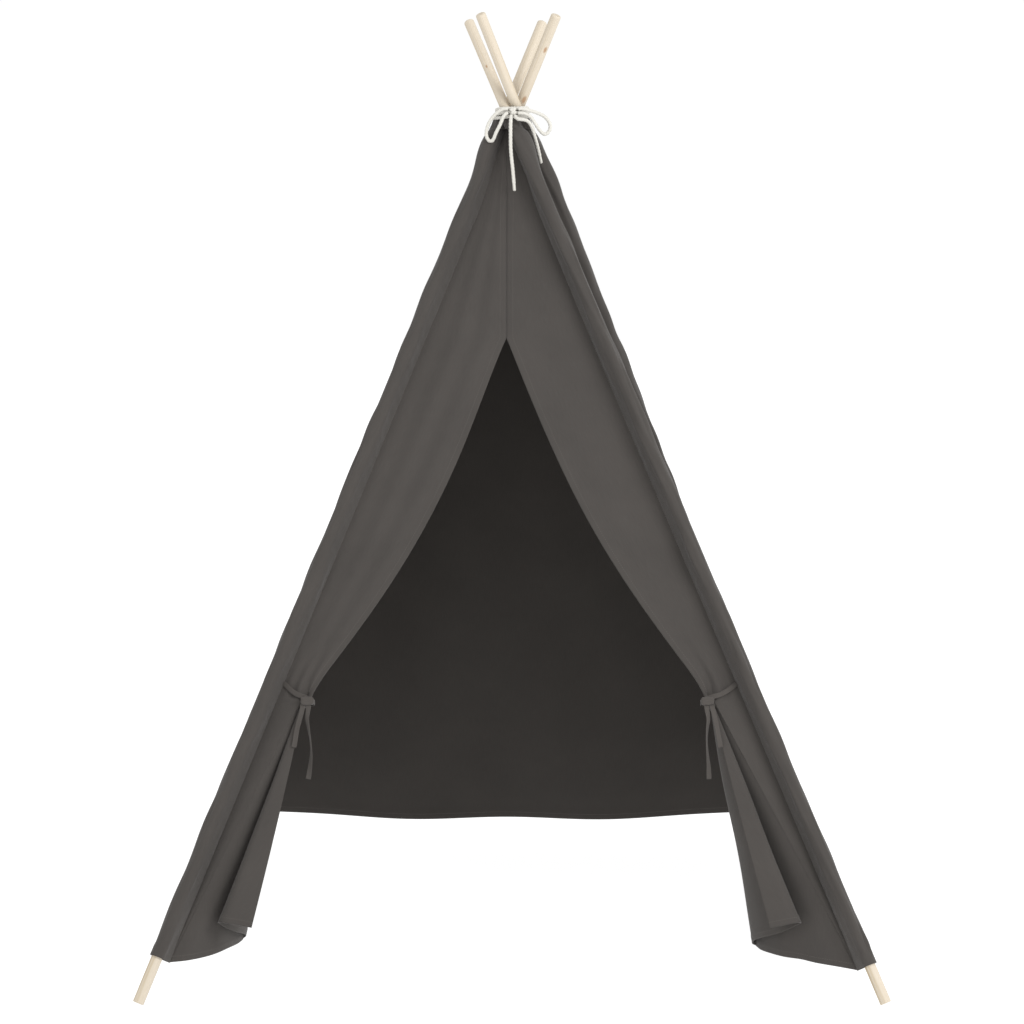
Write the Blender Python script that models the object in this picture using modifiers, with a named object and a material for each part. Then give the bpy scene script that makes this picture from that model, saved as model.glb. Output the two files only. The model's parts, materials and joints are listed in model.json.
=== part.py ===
"""Play teepee: four jointed pine poles crossed under a cord lashing, with a square cotton cover.

The origin is on the floor under the crossing, +Z is up, and the doorway faces -Y.
Each pole is three dowels joined by metal ferrules, and runs in a stitched channel at a corner of the cover.
The poles spread from the lashing, so each one hinges there, and the cover's four sides swing with them.
The doorway's two flaps are tied back to the channels, and each flap's skirt swings below its tie.
"""
import math

import bmesh
import bpy
from mathutils import Matrix, Vector

# Driving sizes, in metres
FOOTPRINT = 1.20            # over the feet, along X and along Y
CROSSING_HEIGHT = 1.436     # where the four poles cross
POLE_LENGTH = 1.843
POLE_DIAMETER = 0.018
GAP = 0.0003                # between pieces that touch

# Poles
LOWER_DOWEL_LENGTH = 0.62
MIDDLE_DOWEL_LENGTH = 0.62
DOWEL_JOINT_GAP = 0.0006
FOOT_CHAMFER = 0.001
TIP_ROUNDING = 0.0035
POLE_SIDES = 20
TIP_ARC_STEPS = 4

# Ferrules
FERRULE_LENGTH = 0.07
FERRULE_WALL = 0.0006

# Cover
CLOTH_THICKNESS = 0.001
CHANNEL_PLAY = 0.0005       # between a ferrule and the channel
CHANNEL_TAIL = 0.0255       # pole's axis to the channel's inner seam
CHANNEL_TAIL_RADIUS = 0.001
CHANNEL_TAPER_LENGTH = 0.15  # over which the channel narrows towards the lashing
COVER_TOP_BELOW_CROSSING = 0.0255
SEAM_TUCK = 0.003           # how far the sides' top corners stand in from the channels
CHANNEL_HEM_HEIGHT = 0.064   # of the pole's axis where the channel ends
SIDE_HEM_HEIGHT = 0.077      # of the pole's axis beside a plain side's bottom corners
HEM_DROP = 0.017             # how much lower a side's hem hangs in its middle
SIDE_SAG = 0.014             # how far a side bows in
SAG_SHARE = 0.85             # of the bow's half wave that a side's height holds
HEM_RIPPLE = 0.006
RIPPLES_SHARE = 2.5
PANEL_COLUMNS = 14
CHANNEL_ARC_POINTS = 13
TAIL_ARC_POINTS = 4
CHANNEL_TAPER_ROWS = 5
CHANNEL_ROWS = 7

# Doorway: the slit's top, the ties and the flaps' free edges
SLIT_TOP_SHARE = 0.7243       # of the crossing's height
TIE_SHARE = 0.3127
EDGE_BOW = 0.039             # how far a flap's free edge bows into the doorway
EDGE_BOW_POWER = 1.15
LEFT_EDGE_FROM_SEAM = 0.0454  # at the tie, from the channel's seam to the edge's line before it gathers
RIGHT_EDGE_FROM_SEAM = 0.0514
LEFT_TIE_FROM_SEAM = 0.0514   # from the channel's seam to each gather's centre
RIGHT_TIE_FROM_SEAM = 0.0604
GATHER_LENGTH = 0.075        # over which a flap draws together above its tie
GATHER_POWER = 3             # how late in that length it narrows
GATHER_WIDTH = 0.017
GATHER_DEPTH = 0.016
FLAP_FOLD = 0.006            # the soft folds that fan up from each tie
FOLDS_LENGTH = 0.16          # how far they reach above it
FOLDS_SHARE = 3.0
SLIT_ROWS = 3
EDGE_ROWS = 12
EDGE_ROWS_POWER = 1.5        # the rows stand closer towards the tie
WEB_ROWS = 7
SKIRT_ROWS = 9
SKIRT_TOP_SHARE = 0.010      # of the way down the swing line, where the skirt starts
WEB_BOTTOM_SHARE = 0.96

# Each skirt's hem in plan, from the cover's corner to the free corner:
# (towards the doorway, into the tent, up), as shares of the hem's reach from the corner.
HEM_REACH = 0.13
LEFT_HEM_SHARES = (
    (0.22, 0.10, 0.05), (0.42, 0.26, 0.05), (0.56, 0.40, 0.06), (0.69, 0.62, 0.07), (0.77, 0.84, 0.06),
    (0.816, 1.00, 0.065), (0.864, 0.98, 0.12), (0.871, 0.80, 0.19), (0.82, 0.58, 0.27), (0.74, 0.42, 0.35),
    (0.67, 0.29, 0.43), (0.62, 0.18, 0.51), (0.69, 0.085, 0.53), (0.84, 0.07, 0.51), (1.02, 0.075, 0.47),
)
RIGHT_HEM_SHARES = (
    (0.24, 0.10, -0.02), (0.47, 0.26, -0.02), (0.635, 0.38, -0.01), (0.83, 0.53, -0.02), (0.98, 0.73, -0.03),
    (1.08, 0.92, -0.04), (1.125, 1.05, -0.03), (1.18, 1.02, 0.01), (1.187, 0.84, 0.10), (1.10, 0.62, 0.20),
    (0.98, 0.45, 0.28), (0.84, 0.30, 0.38), (0.68, 0.18, 0.50), (0.75, 0.085, 0.53), (0.92, 0.07, 0.50),
    (1.07, 0.075, 0.47),
)

# Ties
TIE_WIDTH = 0.008
TIE_THICKNESS = 0.0008
TIE_SEWN_ABOVE = 0.030       # the ribbon's sewn end stands this far above the gather
BAND_STEPS = 9
KNOT_WIDTH = 0.018
KNOT_HEIGHT = 0.012
KNOT_DEPTH = 0.006
KNOT_ROUNDING_SHARE = 0.38
BAND_BEND_SHARE = 0.5
BAND_SLACK_SHARE = 0.25
TAIL_POINT_SPACING = 0.008

# Lashing: a cord wound round the cover's collar, and its bow
CORD_DIAMETER = 0.0066
COLLAR_WALL = 0.0012
COLLAR_PLAY = 0.001           # between the poles and the collar, so that the poles can fold
COLLAR_TOP_ABOVE_CROSSING = 0.0035
LASHING_TURNS = 3
TURN_PITCH = 0.007
LASHING_MIDDLE_BELOW_CROSSING = 0.0055
ARC_POINTS = 5
COLLAR_ARC_POINTS = 5
COLLAR_ROWS = 7
TURN_SLACK = 0.0004          # between the turns and the collar, beside the usual gap
BOW_RIGHT = 0.002            # the bow's place, from the middle and from the crossing
BOW_BELOW_CROSSING = 0.004
BOW_KNOT_WIDTH = 0.017
BOW_KNOT_DEPTH = 0.013
BOW_KNOT_HEIGHT = 0.0145
CORD_POINT_SPACING = 0.006
LINE_STEPS = 6

# The bow's routes: (right, towards the front, up) from the bow knot's middle, in millimetres
MM = 0.001
LEFT_LOOP_MM = (
    (-8.9, 0.8, -3.6), (-12.5, 1.2, -4.6), (-17.5, 2.4, -11), (-23, 3.4, -24), (-30, 3.4, -38),
    (-33, 3, -46), (-37, 1.5, -51.5), (-42, -0.5, -51), (-45.5, -1.5, -46), (-47, -2.5, -38),
    (-44.5, -3, -26), (-39, -3, -15), (-30, -2, -4.6), (-19.5, -0.5, 2.8), (-12.5, 0.3, 4), (-8.9, 0.3, 3.7),
)
RIGHT_LOOP_MM = (
    (8.9, 0.3, 3.7), (13, 0.3, 4.3), (20, -0.3, 3.4), (29, -2, 1), (41, -4, -2.5), (54, -7, -8.5),
    (62, -9, -17), (65, -10, -26), (62.5, -10.5, -34.5), (56, -10, -39.5), (49.5, -9, -36), (43, -7, -28),
    (36.5, -5, -18), (30, -2, -9.5), (21, 0.8, -4.8), (13, 1.4, -3.7), (8.9, 1.2, -3.6),
)
FRONT_TAIL_MM = (
    (-3.6, 2.5, -7.7), (-3.8, 4.5, -11), (-4.2, 7, -17), (-4.5, 10.5, -25), (-4.5, 13.5, -38),
    (-4.5, 16.5, -52), (-4, 18.5, -68), (-2.5, 20, -85), (-0.5, 21, -103), (1, 22, -121), (2.5, 23, -139),
)
RIGHT_TAIL_MM = (
    (3.6, 2.5, -7.9), (4.6, 4.4, -11.2), (9.2, 7, -14), (16, 6.8, -14.8), (22.5, 4.5, -16), (28, 0.5, -19.5),
    (33.5, -5, -29), (37.5, -11, -42), (41.5, -18, -56), (45.5, -25, -72), (49.5, -32, -89),
)
# The ties' tails: (towards the doorway, towards the front, up) from each knot's middle, in millimetres
LEFT_TIE_TAILS_MM = (
    ((-4.5, 2.2, -6.1), (-5.5, 7, -14), (-9, 13, -28), (-13, 18, -44), (-16, 23, -62), (-18, 26, -73)),
    ((4.5, 2.2, -6.1), (4.5, 7, -14), (3, 12, -28), (6, 16, -46), (9, 19, -66), (10, 21, -86), (8, 23, -106),
     (5, 24, -126)),
)
RIGHT_TIE_TAILS_MM = (
    ((-4.5, 2.2, -6.1), (-5.5, 7, -14), (-9, 13, -28), (-12, 18, -44), (-15, 23, -60), (-17, 26, -73)),
    ((4.5, 2.2, -6.1), (4, 7, -14), (2, 12, -28), (4, 16, -44), (5, 19, -62), (4, 21, -82), (2, 23, -104),
     (1, 24, -126)),
)

X_AXIS = Vector((1, 0, 0))
Y_AXIS = Vector((0, 1, 0))
Z_AXIS = Vector((0, 0, 1))

# What follows from the driving sizes
MERGE = GAP / 30
POLE_RADIUS = POLE_DIAMETER / 2
HALF = FOOTPRINT / 2 - POLE_RADIUS
LEAN = math.atan2(HALF * math.sqrt(2), CROSSING_HEIGHT)
# Neighbouring poles just miss each other where they cross, so each stands this far beside the middle
TWIST = (POLE_DIAMETER + 2 * GAP) * math.sqrt(2 + math.tan(LEAN) ** 2) / 2
FOOT_HEIGHT = (POLE_RADIUS - FOOT_CHAMFER) * math.sin(LEAN)
FERRULE_INNER = POLE_RADIUS + GAP
FERRULE_OUTER = FERRULE_INNER + FERRULE_WALL
CHANNEL_RADIUS = FERRULE_OUTER + CHANNEL_PLAY + CLOTH_THICKNESS / 2
COVER_TOP = CROSSING_HEIGHT - COVER_TOP_BELOW_CROSSING
SLIT_TOP_HEIGHT = CROSSING_HEIGHT * SLIT_TOP_SHARE
TIE_HEIGHT = CROSSING_HEIGHT * TIE_SHARE
SEAM_CLEARANCE = CHANNEL_TAIL_RADIUS + CLOTH_THICKNESS / 2 + GAP + CLOTH_THICKNESS / 4

CORNERS = {
    "front_left": (-1, -1),
    "front_right": (1, -1),
    "back_right": (1, 1),
    "back_left": (-1, 1),
}
COTTON = (0.091, 0.082, 0.075, 1)
PINE = (0.80, 0.70, 0.54, 1)
STEEL = (0.62, 0.62, 0.60, 1)
CORD = (0.86, 0.84, 0.77, 1)


def lerp(a, b, share):
    return a + (b - a) * share


def smoothstep(share):
    share = min(max(share, 0), 1)
    return share * share * (3 - 2 * share)


def clear_scene():
    for old in list(bpy.data.objects):
        bpy.data.objects.remove(old, do_unlink=True)


def new_collection(name):
    collection = bpy.data.collections.new(name)
    bpy.context.scene.collection.children.link(collection)
    return collection


def dress(thing, colour, roughness, metallic=0.0):
    """Gives an object a Principled BSDF material of its own."""
    material = bpy.data.materials.new(thing.name)
    material.use_nodes = True
    shader = material.node_tree.nodes["Principled BSDF"]
    shader.inputs["Base Color"].default_value = colour
    shader.inputs["Roughness"].default_value = roughness
    shader.inputs["Metallic"].default_value = metallic
    material.diffuse_color = colour
    thing.data.materials.append(material)


def add_part(name, data, parent):
    thing = bpy.data.objects.new(name, data)
    parts.objects.link(thing)
    thing.parent = parent
    return thing


def add_pivot(name, place, turn=None):
    """An empty on a joint's axis, which carries the pieces that turn there."""
    pivot = bpy.data.objects.new(name, None)
    parts.objects.link(pivot)
    pivot.matrix_world = Matrix.Translation(place) @ (turn or Matrix.Identity(4))
    return pivot


def turned(name, profile, parent, closed=False):
    """A turned piece: a profile of (radius, height) points, run down its outer side, swept round Z."""
    mesh = bpy.data.meshes.new(name)
    points = [(radius, 0, height) for radius, height in profile]
    edges = [(i, i + 1) for i in range(len(points) - 1)]
    if closed:
        edges.append((len(points) - 1, 0))
    mesh.from_pydata(points, edges, [])
    thing = add_part(name, mesh, parent)
    screw = thing.modifiers.new("turn", "SCREW")
    screw.steps = POLE_SIDES
    screw.render_steps = POLE_SIDES
    screw.use_merge_vertices = True
    screw.merge_threshold = MERGE
    screw.use_smooth_shade = False
    return thing


def sheet(name, rows, parent, thickness=CLOTH_THICKNESS, round_section=False, turned_over=False):
    """A cloth: rows of world points joined as a grid, with its thickness from Solidify.

    A row with fewer points than the one above it goes on from that row's first points only.
    """
    away = parent.matrix_world.inverted()
    mesh = bpy.data.meshes.new(name)
    grid = bmesh.new()
    made = [[grid.verts.new(away @ point) for point in row] for row in rows]
    for upper, lower in zip(made, made[1:]):
        count = min(len(upper), len(lower))
        for i in range(count if round_section else count - 1):
            j = (i + 1) % count
            corners = (upper[i], lower[i], lower[j], upper[j])
            grid.faces.new(corners[::-1] if turned_over else corners)
    grid.to_mesh(mesh)
    grid.free()
    thing = add_part(name, mesh, parent)
    wall = thing.modifiers.new("thickness", "SOLIDIFY")
    wall.thickness = thickness
    wall.offset = 0
    for face in mesh.polygons:
        face.use_smooth = True
    dress(thing, COTTON, 0.9)
    return thing


def smooth_route(points, spacing):
    """Points about a spacing apart on a Catmull-Rom curve through a route's own points."""
    padded = [points[0] * 2 - points[1], *points, points[-1] * 2 - points[-2]]
    route = [points[0]]
    for a, b, c, d in zip(padded, padded[1:], padded[2:], padded[3:]):
        steps = max(1, round((c - b).length / spacing))
        for step in range(1, steps + 1):
            t = step / steps
            square = 2 * a - 5 * b + 4 * c - d
            cube = 3 * b - a - 3 * c + d
            route.append((2 * b + (c - a) * t + square * t ** 2 + cube * t ** 3) / 2)
    return route


def tube(name, points, diameter, parent, resolution):
    """A cord: a poly curve with a round bevel and filled caps."""
    away = parent.matrix_world.inverted()
    curve = bpy.data.curves.new(name, "CURVE")
    curve.dimensions = "3D"
    spline = curve.splines.new("POLY")
    spline.points.add(len(points) - 1)
    for knot, point in zip(spline.points, points):
        knot.co = (*(away @ point), 1)
    curve.bevel_depth = diameter / 2
    curve.bevel_resolution = resolution
    curve.use_fill_caps = True
    thing = add_part(name, curve, parent)
    dress(thing, CORD, 0.85)
    return thing


class Pole:
    """A pole's line from its foot to its tip, and the cover's channel round it."""

    def __init__(self, name, sign_x, sign_y):
        self.name = name
        self.foot = Vector((sign_x * HALF, sign_y * HALF, FOOT_HEIGHT))
        beside = Vector((sign_y, -sign_x, 0)).normalized()
        self.crossing = beside * TWIST + Vector((0, 0, CROSSING_HEIGHT))
        self.along = (self.crossing - self.foot).normalized()
        self.below = (self.crossing - self.foot).length
        outward = Vector((-self.along.x, -self.along.y, 0)).normalized()
        # the pole folds in about the level line that is square to it
        self.hinge = outward.cross(Vector((0, 0, -1))).normalized()
        front = self.hinge.cross(self.along)
        turn = Matrix((front, self.hinge, self.along)).transposed().to_4x4()
        self.pivot = add_pivot(f"{name}_pole_pivot", self.crossing, turn)

    def at_height(self, height):
        return self.foot + self.along * ((height - self.foot.z) / self.along.z)

    def tail(self, height):
        """The middle of the channel's inner seam, and the direction to it, where the axis has this height."""
        axis = self.at_height(height)
        inward = Vector((-axis.x, -axis.y, 0)).normalized()
        inward = (inward - self.along * inward.dot(self.along)).normalized()
        least = CHANNEL_RADIUS - CHANNEL_TAIL_RADIUS / 2
        length = lerp(least, CHANNEL_TAIL, smoothstep((COVER_TOP - height) / CHANNEL_TAPER_LENGTH))
        return axis + inward * length, inward, length

    def channel_ring(self, height):
        """The channel's section: a big arc round the pole, drawn to a small arc at its inner seam."""
        axis = self.at_height(height)
        _, inward, length = self.tail(height)
        side = self.along.cross(inward)
        edge = math.pi / 2 - math.asin(min((CHANNEL_RADIUS - CHANNEL_TAIL_RADIUS) / length, 1))
        ring = []
        for middle, radius, start, stop, count in (
            (axis, CHANNEL_RADIUS, edge, 2 * math.pi - edge, CHANNEL_ARC_POINTS),
            (axis + inward * length, CHANNEL_TAIL_RADIUS, -edge, edge, TAIL_ARC_POINTS),
        ):
            for step in range(count):
                angle = lerp(start, stop, step / (count - 1))
                ring.append(middle + (inward * math.cos(angle) + side * math.sin(angle)) * radius)
        return ring


def make_pole(pole):
    """Three dowels and two ferrules, along the pivot's own Z axis."""
    bottom = -pole.below
    joints = (bottom + LOWER_DOWEL_LENGTH, bottom + LOWER_DOWEL_LENGTH + MIDDLE_DOWEL_LENGTH)
    top = bottom + POLE_LENGTH
    half_gap = DOWEL_JOINT_GAP / 2
    spans = {
        "lower": (bottom, joints[0] - half_gap, FOOT_CHAMFER, FOOT_CHAMFER),
        "middle": (joints[0] + half_gap, joints[1] - half_gap, FOOT_CHAMFER, FOOT_CHAMFER),
        "upper": (joints[1] + half_gap, top, FOOT_CHAMFER, TIP_ROUNDING),
    }
    for part, (low, high, low_cut, high_cut) in spans.items():
        steps = TIP_ARC_STEPS if part == "upper" else 1
        outline = [(0, high)]
        for step in range(steps + 1):
            angle = step / steps * math.pi / 2
            inset, drop = high_cut * (1 - math.sin(angle)), high_cut * (1 - math.cos(angle))
            outline.append((POLE_RADIUS - inset, high - drop))
        outline += [(POLE_RADIUS, low + low_cut), (POLE_RADIUS - low_cut, low), (0, low)]
        dowel = turned(f"{pole.name}_{part}_dowel", outline, pole.pivot)
        dress(dowel, PINE, 0.6)
    for part, middle in zip(("lower", "upper"), joints):
        low, high = middle - FERRULE_LENGTH / 2, middle + FERRULE_LENGTH / 2
        wall = [(FERRULE_OUTER, high), (FERRULE_OUTER, low), (FERRULE_INNER, low), (FERRULE_INNER, high)]
        ferrule = turned(f"{pole.name}_{part}_ferrule", wall, pole.pivot, closed=True)
        dress(ferrule, STEEL, 0.35, 1.0)


def channel_heights(hem_height):
    taper_end = COVER_TOP - CHANNEL_TAPER_LENGTH
    upper = [lerp(COVER_TOP, taper_end, row / CHANNEL_TAPER_ROWS) for row in range(CHANNEL_TAPER_ROWS)]
    lower = [lerp(taper_end, hem_height, row / CHANNEL_ROWS) for row in range(CHANNEL_ROWS + 1)]
    return upper + lower


def make_channel(pole):
    rows = [pole.channel_ring(height)[::-1] for height in channel_heights(CHANNEL_HEM_HEIGHT)]
    sheet(f"{pole.name}_pole_sleeve", rows, pole.pivot, round_section=True)


class Side:
    """One side of the cover, between the inner seams of two channels, seen from outside."""

    def __init__(self, name, left, right):
        self.name = name
        self.left = left
        self.right = right
        corners = [p.tail(h)[0] for p, h in ((left, CHANNEL_HEM_HEIGHT), (right, CHANNEL_HEM_HEIGHT))]
        top = (left.tail(SLIT_TOP_HEIGHT)[0] + right.tail(SLIT_TOP_HEIGHT)[0]) / 2
        self.normal = (corners[1] - corners[0]).cross(top - corners[0]).normalized()
        self.across = (corners[1] - corners[0]).normalized()
        self.down = self.across.cross(self.normal).normalized()
        if self.down.z > 0:
            self.down.negate()
        self.pivot = add_pivot(f"{name}_cover_pivot", Vector((0, 0, CROSSING_HEIGHT)))

    def seams(self, height):
        """The two seam edges of a row, pulled in from the channels so that the cloth just clears them."""
        tucked = SEAM_TUCK * (1 - smoothstep((COVER_TOP - height) / CHANNEL_TAPER_LENGTH))
        ends = (self.left.tail(height), self.right.tail(height))
        a, b = (place + inward * tucked for place, inward, _ in ends)
        pull = (b - a).normalized() * SEAM_CLEARANCE
        return a + pull, b - pull

    def plain_point(self, height, share):
        a, b = self.seams(height)
        return lerp(a, b, share)

    def fallen(self, height):
        """0 at the cover's top and 1 at its hem."""
        return (COVER_TOP - height) / (COVER_TOP - SIDE_HEM_HEIGHT)


def make_plain_side(side):
    """A side with no doorway: a trapezium that bows in a little, with a hem that dips and ripples."""
    rows = []
    for height in channel_heights(SIDE_HEM_HEIGHT):
        fall = side.fallen(height)
        points = []
        for column in range(PANEL_COLUMNS + 1):
            share = column / PANEL_COLUMNS
            bulge = math.sin(math.pi * share)
            bow = -SIDE_SAG * bulge * math.sin(math.pi * fall * SAG_SHARE)
            ripple = HEM_RIPPLE * bulge * fall ** 2 * math.sin(2 * math.pi * RIPPLES_SHARE * share)
            drop = HEM_DROP * (1 - (2 * share - 1) ** 2) * fall ** 3
            points.append(side.plain_point(height, share) + side.normal * (bow + ripple) + side.down * drop)
        rows.append(points)
    sheet(f"{side.name}_panel", rows, side.pivot)


class Flap:
    """Half of the front: sewn along its channel, free below the slit, and gathered by a tie over a skirt."""

    def __init__(self, side, name, hand, edge_from_seam, tie_from_seam, hem_shares):
        self.side = side
        self.name = name
        self.hand = hand
        self.tie_axis_height = self.axis_height_of(TIE_HEIGHT)
        a, b = side.seams(self.tie_axis_height)
        half_width = (b - a).length / 2
        self.edge_at_tie = half_width - edge_from_seam
        self.tie = (a + b) / 2 + side.across * hand * (half_width - tie_from_seam)
        self.corner = side.seams(CHANNEL_HEM_HEIGHT)[0 if hand < 0 else 1]
        inward = Vector((0, 1, 0))
        doorway = Vector((-hand, 0, 0))
        up = Vector((0, 0, 1))
        start = self.corner + doorway * (CLOTH_THICKNESS / 2 + GAP)
        self.hem = [start] + [
            self.corner + (doorway * x + inward * y + up * z) * HEM_REACH for x, y, z in hem_shares
        ]
        xs = [point.x for point in self.hem]
        ys = [point.y for point in self.hem]
        centre = Vector(((min(xs) + max(xs)) / 2, (min(ys) + max(ys)) / 2, 0))
        wide, deep = max(xs) - min(xs), max(ys) - min(ys)
        # the same fold, drawn together at the tie
        self.bundle = [
            self.tie
            + side.across * ((point.x - centre.x) / wide * GATHER_WIDTH)
            - side.normal * ((point.y - centre.y) / deep * GATHER_DEPTH)
            for point in self.hem
        ]

    def axis_height_of(self, height):
        """The axis height of the row whose seam has this height."""
        shift = self.side.left.at_height(height).z - self.side.left.tail(height)[0].z
        return height + shift

    def row(self, height):
        """A row above the tie: flat from the seam to the free edge, then drawn into the gather."""
        side = self.side
        seam, other = side.seams(height)
        if self.hand > 0:
            seam, other = other, seam
        middle = (seam + other) / 2
        inner = (other - seam).normalized()
        level = seam.z
        opened = (SLIT_TOP_HEIGHT - level) / (SLIT_TOP_HEIGHT - TIE_HEIGHT)
        if opened <= 0:
            edge = middle - inner * (GAP / 2 + CLOTH_THICKNESS / 4)
        else:
            bow = EDGE_BOW * math.sin(math.pi * min(opened, 1) ** EDGE_BOW_POWER)
            edge = middle - inner * (self.edge_at_tie * opened - bow + GAP / 2 + CLOTH_THICKNESS / 4)
        gather = smoothstep((TIE_HEIGHT + GATHER_LENGTH - level) / GATHER_LENGTH) ** GATHER_POWER
        near = smoothstep((TIE_HEIGHT + FOLDS_LENGTH - level) / FOLDS_LENGTH) * (1 - gather)
        points = [seam]
        count = len(self.bundle)
        for i, gathered in enumerate(self.bundle):
            share = (i + 1) / count
            spread = lerp(seam, edge, share)
            fold = FLAP_FOLD * math.sin(math.pi * share) ** 2 * math.sin(2 * math.pi * FOLDS_SHARE * share)
            points.append(lerp(spread + side.normal * fold * near, gathered, gather))
        return points

    def heights(self):
        slit = self.axis_height_of(SLIT_TOP_HEIGHT)
        taper_end = COVER_TOP - CHANNEL_TAPER_LENGTH
        upper = channel_heights(CHANNEL_HEM_HEIGHT)[:CHANNEL_TAPER_ROWS]
        upper += [lerp(taper_end, slit, row / SLIT_ROWS) for row in range(SLIT_ROWS)]
        shares = [1 - (1 - row / EDGE_ROWS) ** EDGE_ROWS_POWER for row in range(EDGE_ROWS + 1)]
        return upper + [lerp(slit, self.tie_axis_height, share) for share in shares]

    def swing_line(self, share):
        """A point on the line that the skirt swings on, from the tie to the cover's corner."""
        return lerp(self.bundle[0], self.hem[0], share)


def make_flap(flap):
    """The flap down to its tie, with the web that goes on between the channel and the skirt's swing line."""
    rows = [flap.row(height) for height in flap.heights()]
    for row in range(WEB_ROWS + 1):
        share = max(WEB_BOTTOM_SHARE * row / WEB_ROWS, SKIRT_TOP_SHARE)
        height = lerp(flap.tie_axis_height, CHANNEL_HEM_HEIGHT, share)
        seam = flap.side.seams(height)[0 if flap.hand < 0 else 1]
        line = flap.swing_line(share)
        rows.append([seam, line + (seam - line).normalized() * (CLOTH_THICKNESS / 2 + GAP)])
    sheet(f"{flap.name}_flap", rows, flap.side.pivot, turned_over=flap.hand > 0)


def make_skirt(flap):
    """The loose cloth below the tie, fanning out from the gather and turning back at the doorway."""
    pivot = add_pivot(f"{flap.name}_skirt_pivot", flap.swing_line(0))
    rows = []
    for row in range(SKIRT_ROWS + 1):
        share = lerp(SKIRT_TOP_SHARE, 1, row / SKIRT_ROWS)
        rows.append([lerp(top, low, share) for top, low in zip(flap.bundle, flap.hem)])
    sheet(f"{flap.name}_skirt", rows, pivot, turned_over=flap.hand > 0)


def ribbon(name, path, across, parent):
    """A flat tie along a path, as wide as a tie across it."""
    rows = [[point + across * (TIE_WIDTH / 2), point - across * (TIE_WIDTH / 2)] for point in path]
    return sheet(name, rows, parent, thickness=TIE_THICKNESS)


def rounded_block(name, place, width, depth, height, side=None, parent=None):
    """A knot's body: a cube with its edges rounded off, its depth square to a side of the cover."""
    parent = side.pivot if side else parent
    mesh = bpy.data.meshes.new(name)
    block = bmesh.new()
    bmesh.ops.create_cube(block, size=1)
    right, back, up = (side.across, -side.normal, -side.down) if side else (X_AXIS, Y_AXIS, Z_AXIS)
    for vert in block.verts:
        vert.co = right * (vert.co.x * width) + back * (vert.co.y * depth) + up * (vert.co.z * height)
        vert.co += place - parent.matrix_world.translation
    block.to_mesh(mesh)
    block.free()
    thing = add_part(name, mesh, parent)
    bevel = thing.modifiers.new("rounding", "BEVEL")
    bevel.width = min(width, depth, height) * KNOT_ROUNDING_SHARE
    bevel.segments = 2
    return thing


def make_tie(flap, tails):
    """A ribbon sewn to the channel's seam outside and inside, round the gather, with a knot and two tails."""
    side, hand = flap.side, flap.hand
    doorway = side.across * -hand
    out = side.normal
    stand = CLOTH_THICKNESS / 2 + TIE_THICKNESS / 2 + GAP
    # the smallest oval of the gather's proportions that goes round it
    offsets = [point - flap.tie for point in flap.bundle]
    reach = max(math.hypot(off.dot(doorway) / GATHER_WIDTH, off.dot(out) / GATHER_DEPTH) for off in offsets)
    half_wide = GATHER_WIDTH * reach + stand
    half_deep = GATHER_DEPTH * reach + stand
    seam = side.seams(flap.tie_axis_height)[0 if hand < 0 else 1]
    higher = side.seams(flap.axis_height_of(TIE_HEIGHT + TIE_SEWN_ABOVE))[0 if hand < 0 else 1]
    along_cloth = (flap.bundle[0] - seam).normalized() * (TIE_WIDTH / 2 + GAP)
    between = lerp(seam, flap.bundle[0], BAND_BEND_SHARE)
    slack = out * (stand + TIE_WIDTH * BAND_SLACK_SHARE)
    path = [
        higher + along_cloth + out * (stand + GAP),
        between + slack - side.down * TIE_SEWN_ABOVE * BAND_SLACK_SHARE,
    ]
    for step in range(BAND_STEPS + 1):
        angle = math.pi * (1 / 2 - step / BAND_STEPS)
        path.append(flap.tie + doorway * half_wide * math.cos(angle) + out * half_deep * math.sin(angle))
    path += [between - slack, seam + along_cloth - out * (stand + GAP)]
    ribbon(f"{flap.name}_tie_band", path, side.down, side.pivot)
    knot = flap.tie + out * (half_deep + TIE_THICKNESS / 2 + GAP + KNOT_DEPTH / 2)
    body = rounded_block(f"{flap.name}_tie_knot", knot, KNOT_WIDTH, KNOT_DEPTH, KNOT_HEIGHT, side)
    dress(body, COTTON, 0.9)
    for number, route in enumerate(tails, 1):
        points = [knot + Vector((-hand * x, -y, z)) * MM for x, y, z in route]
        path = smooth_route(points, TAIL_POINT_SPACING)
        ribbon(f"{flap.name}_tie_tail_{number}", path, Vector((1, 0, 0)), side.pivot)


def outline_points(poles, height, margin, arc_points):
    """A level ring round the four poles: an arc round each one's outer side, a margin away from it."""
    centres = [pole.at_height(height) for pole in poles]
    radius = POLE_RADIUS / math.cos(LEAN) + margin
    ring = []
    for before, here, after in zip(centres[-1:] + centres[:-1], centres, centres[1:] + centres[:1]):
        start = (here - before).to_2d()
        stop = (after - here).to_2d()
        first = math.atan2(start.y, start.x) - math.pi / 2
        turn = (math.atan2(stop.y, stop.x) - math.pi / 2 - first) % (2 * math.pi)
        for step in range(arc_points):
            angle = first + turn * step / (arc_points - 1)
            ring.append(here + Vector((math.cos(angle), math.sin(angle), 0)) * radius)
    return ring


def make_collar(poles, root):
    """The cover's gathered top edge, round all four poles under the cord."""
    low = COVER_TOP + (CHANNEL_RADIUS + CLOTH_THICKNESS / 2) * math.sin(LEAN) + GAP
    high = CROSSING_HEIGHT + COLLAR_TOP_ABOVE_CROSSING
    rows = []
    for row in range(COLLAR_ROWS + 1):
        height = lerp(high, low, row / COLLAR_ROWS)
        rows.append(outline_points(poles, height, COLLAR_PLAY + COLLAR_WALL / 2, COLLAR_ARC_POINTS)[::-1])
    sheet("top_collar", rows, root, thickness=COLLAR_WALL, round_section=True)


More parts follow.
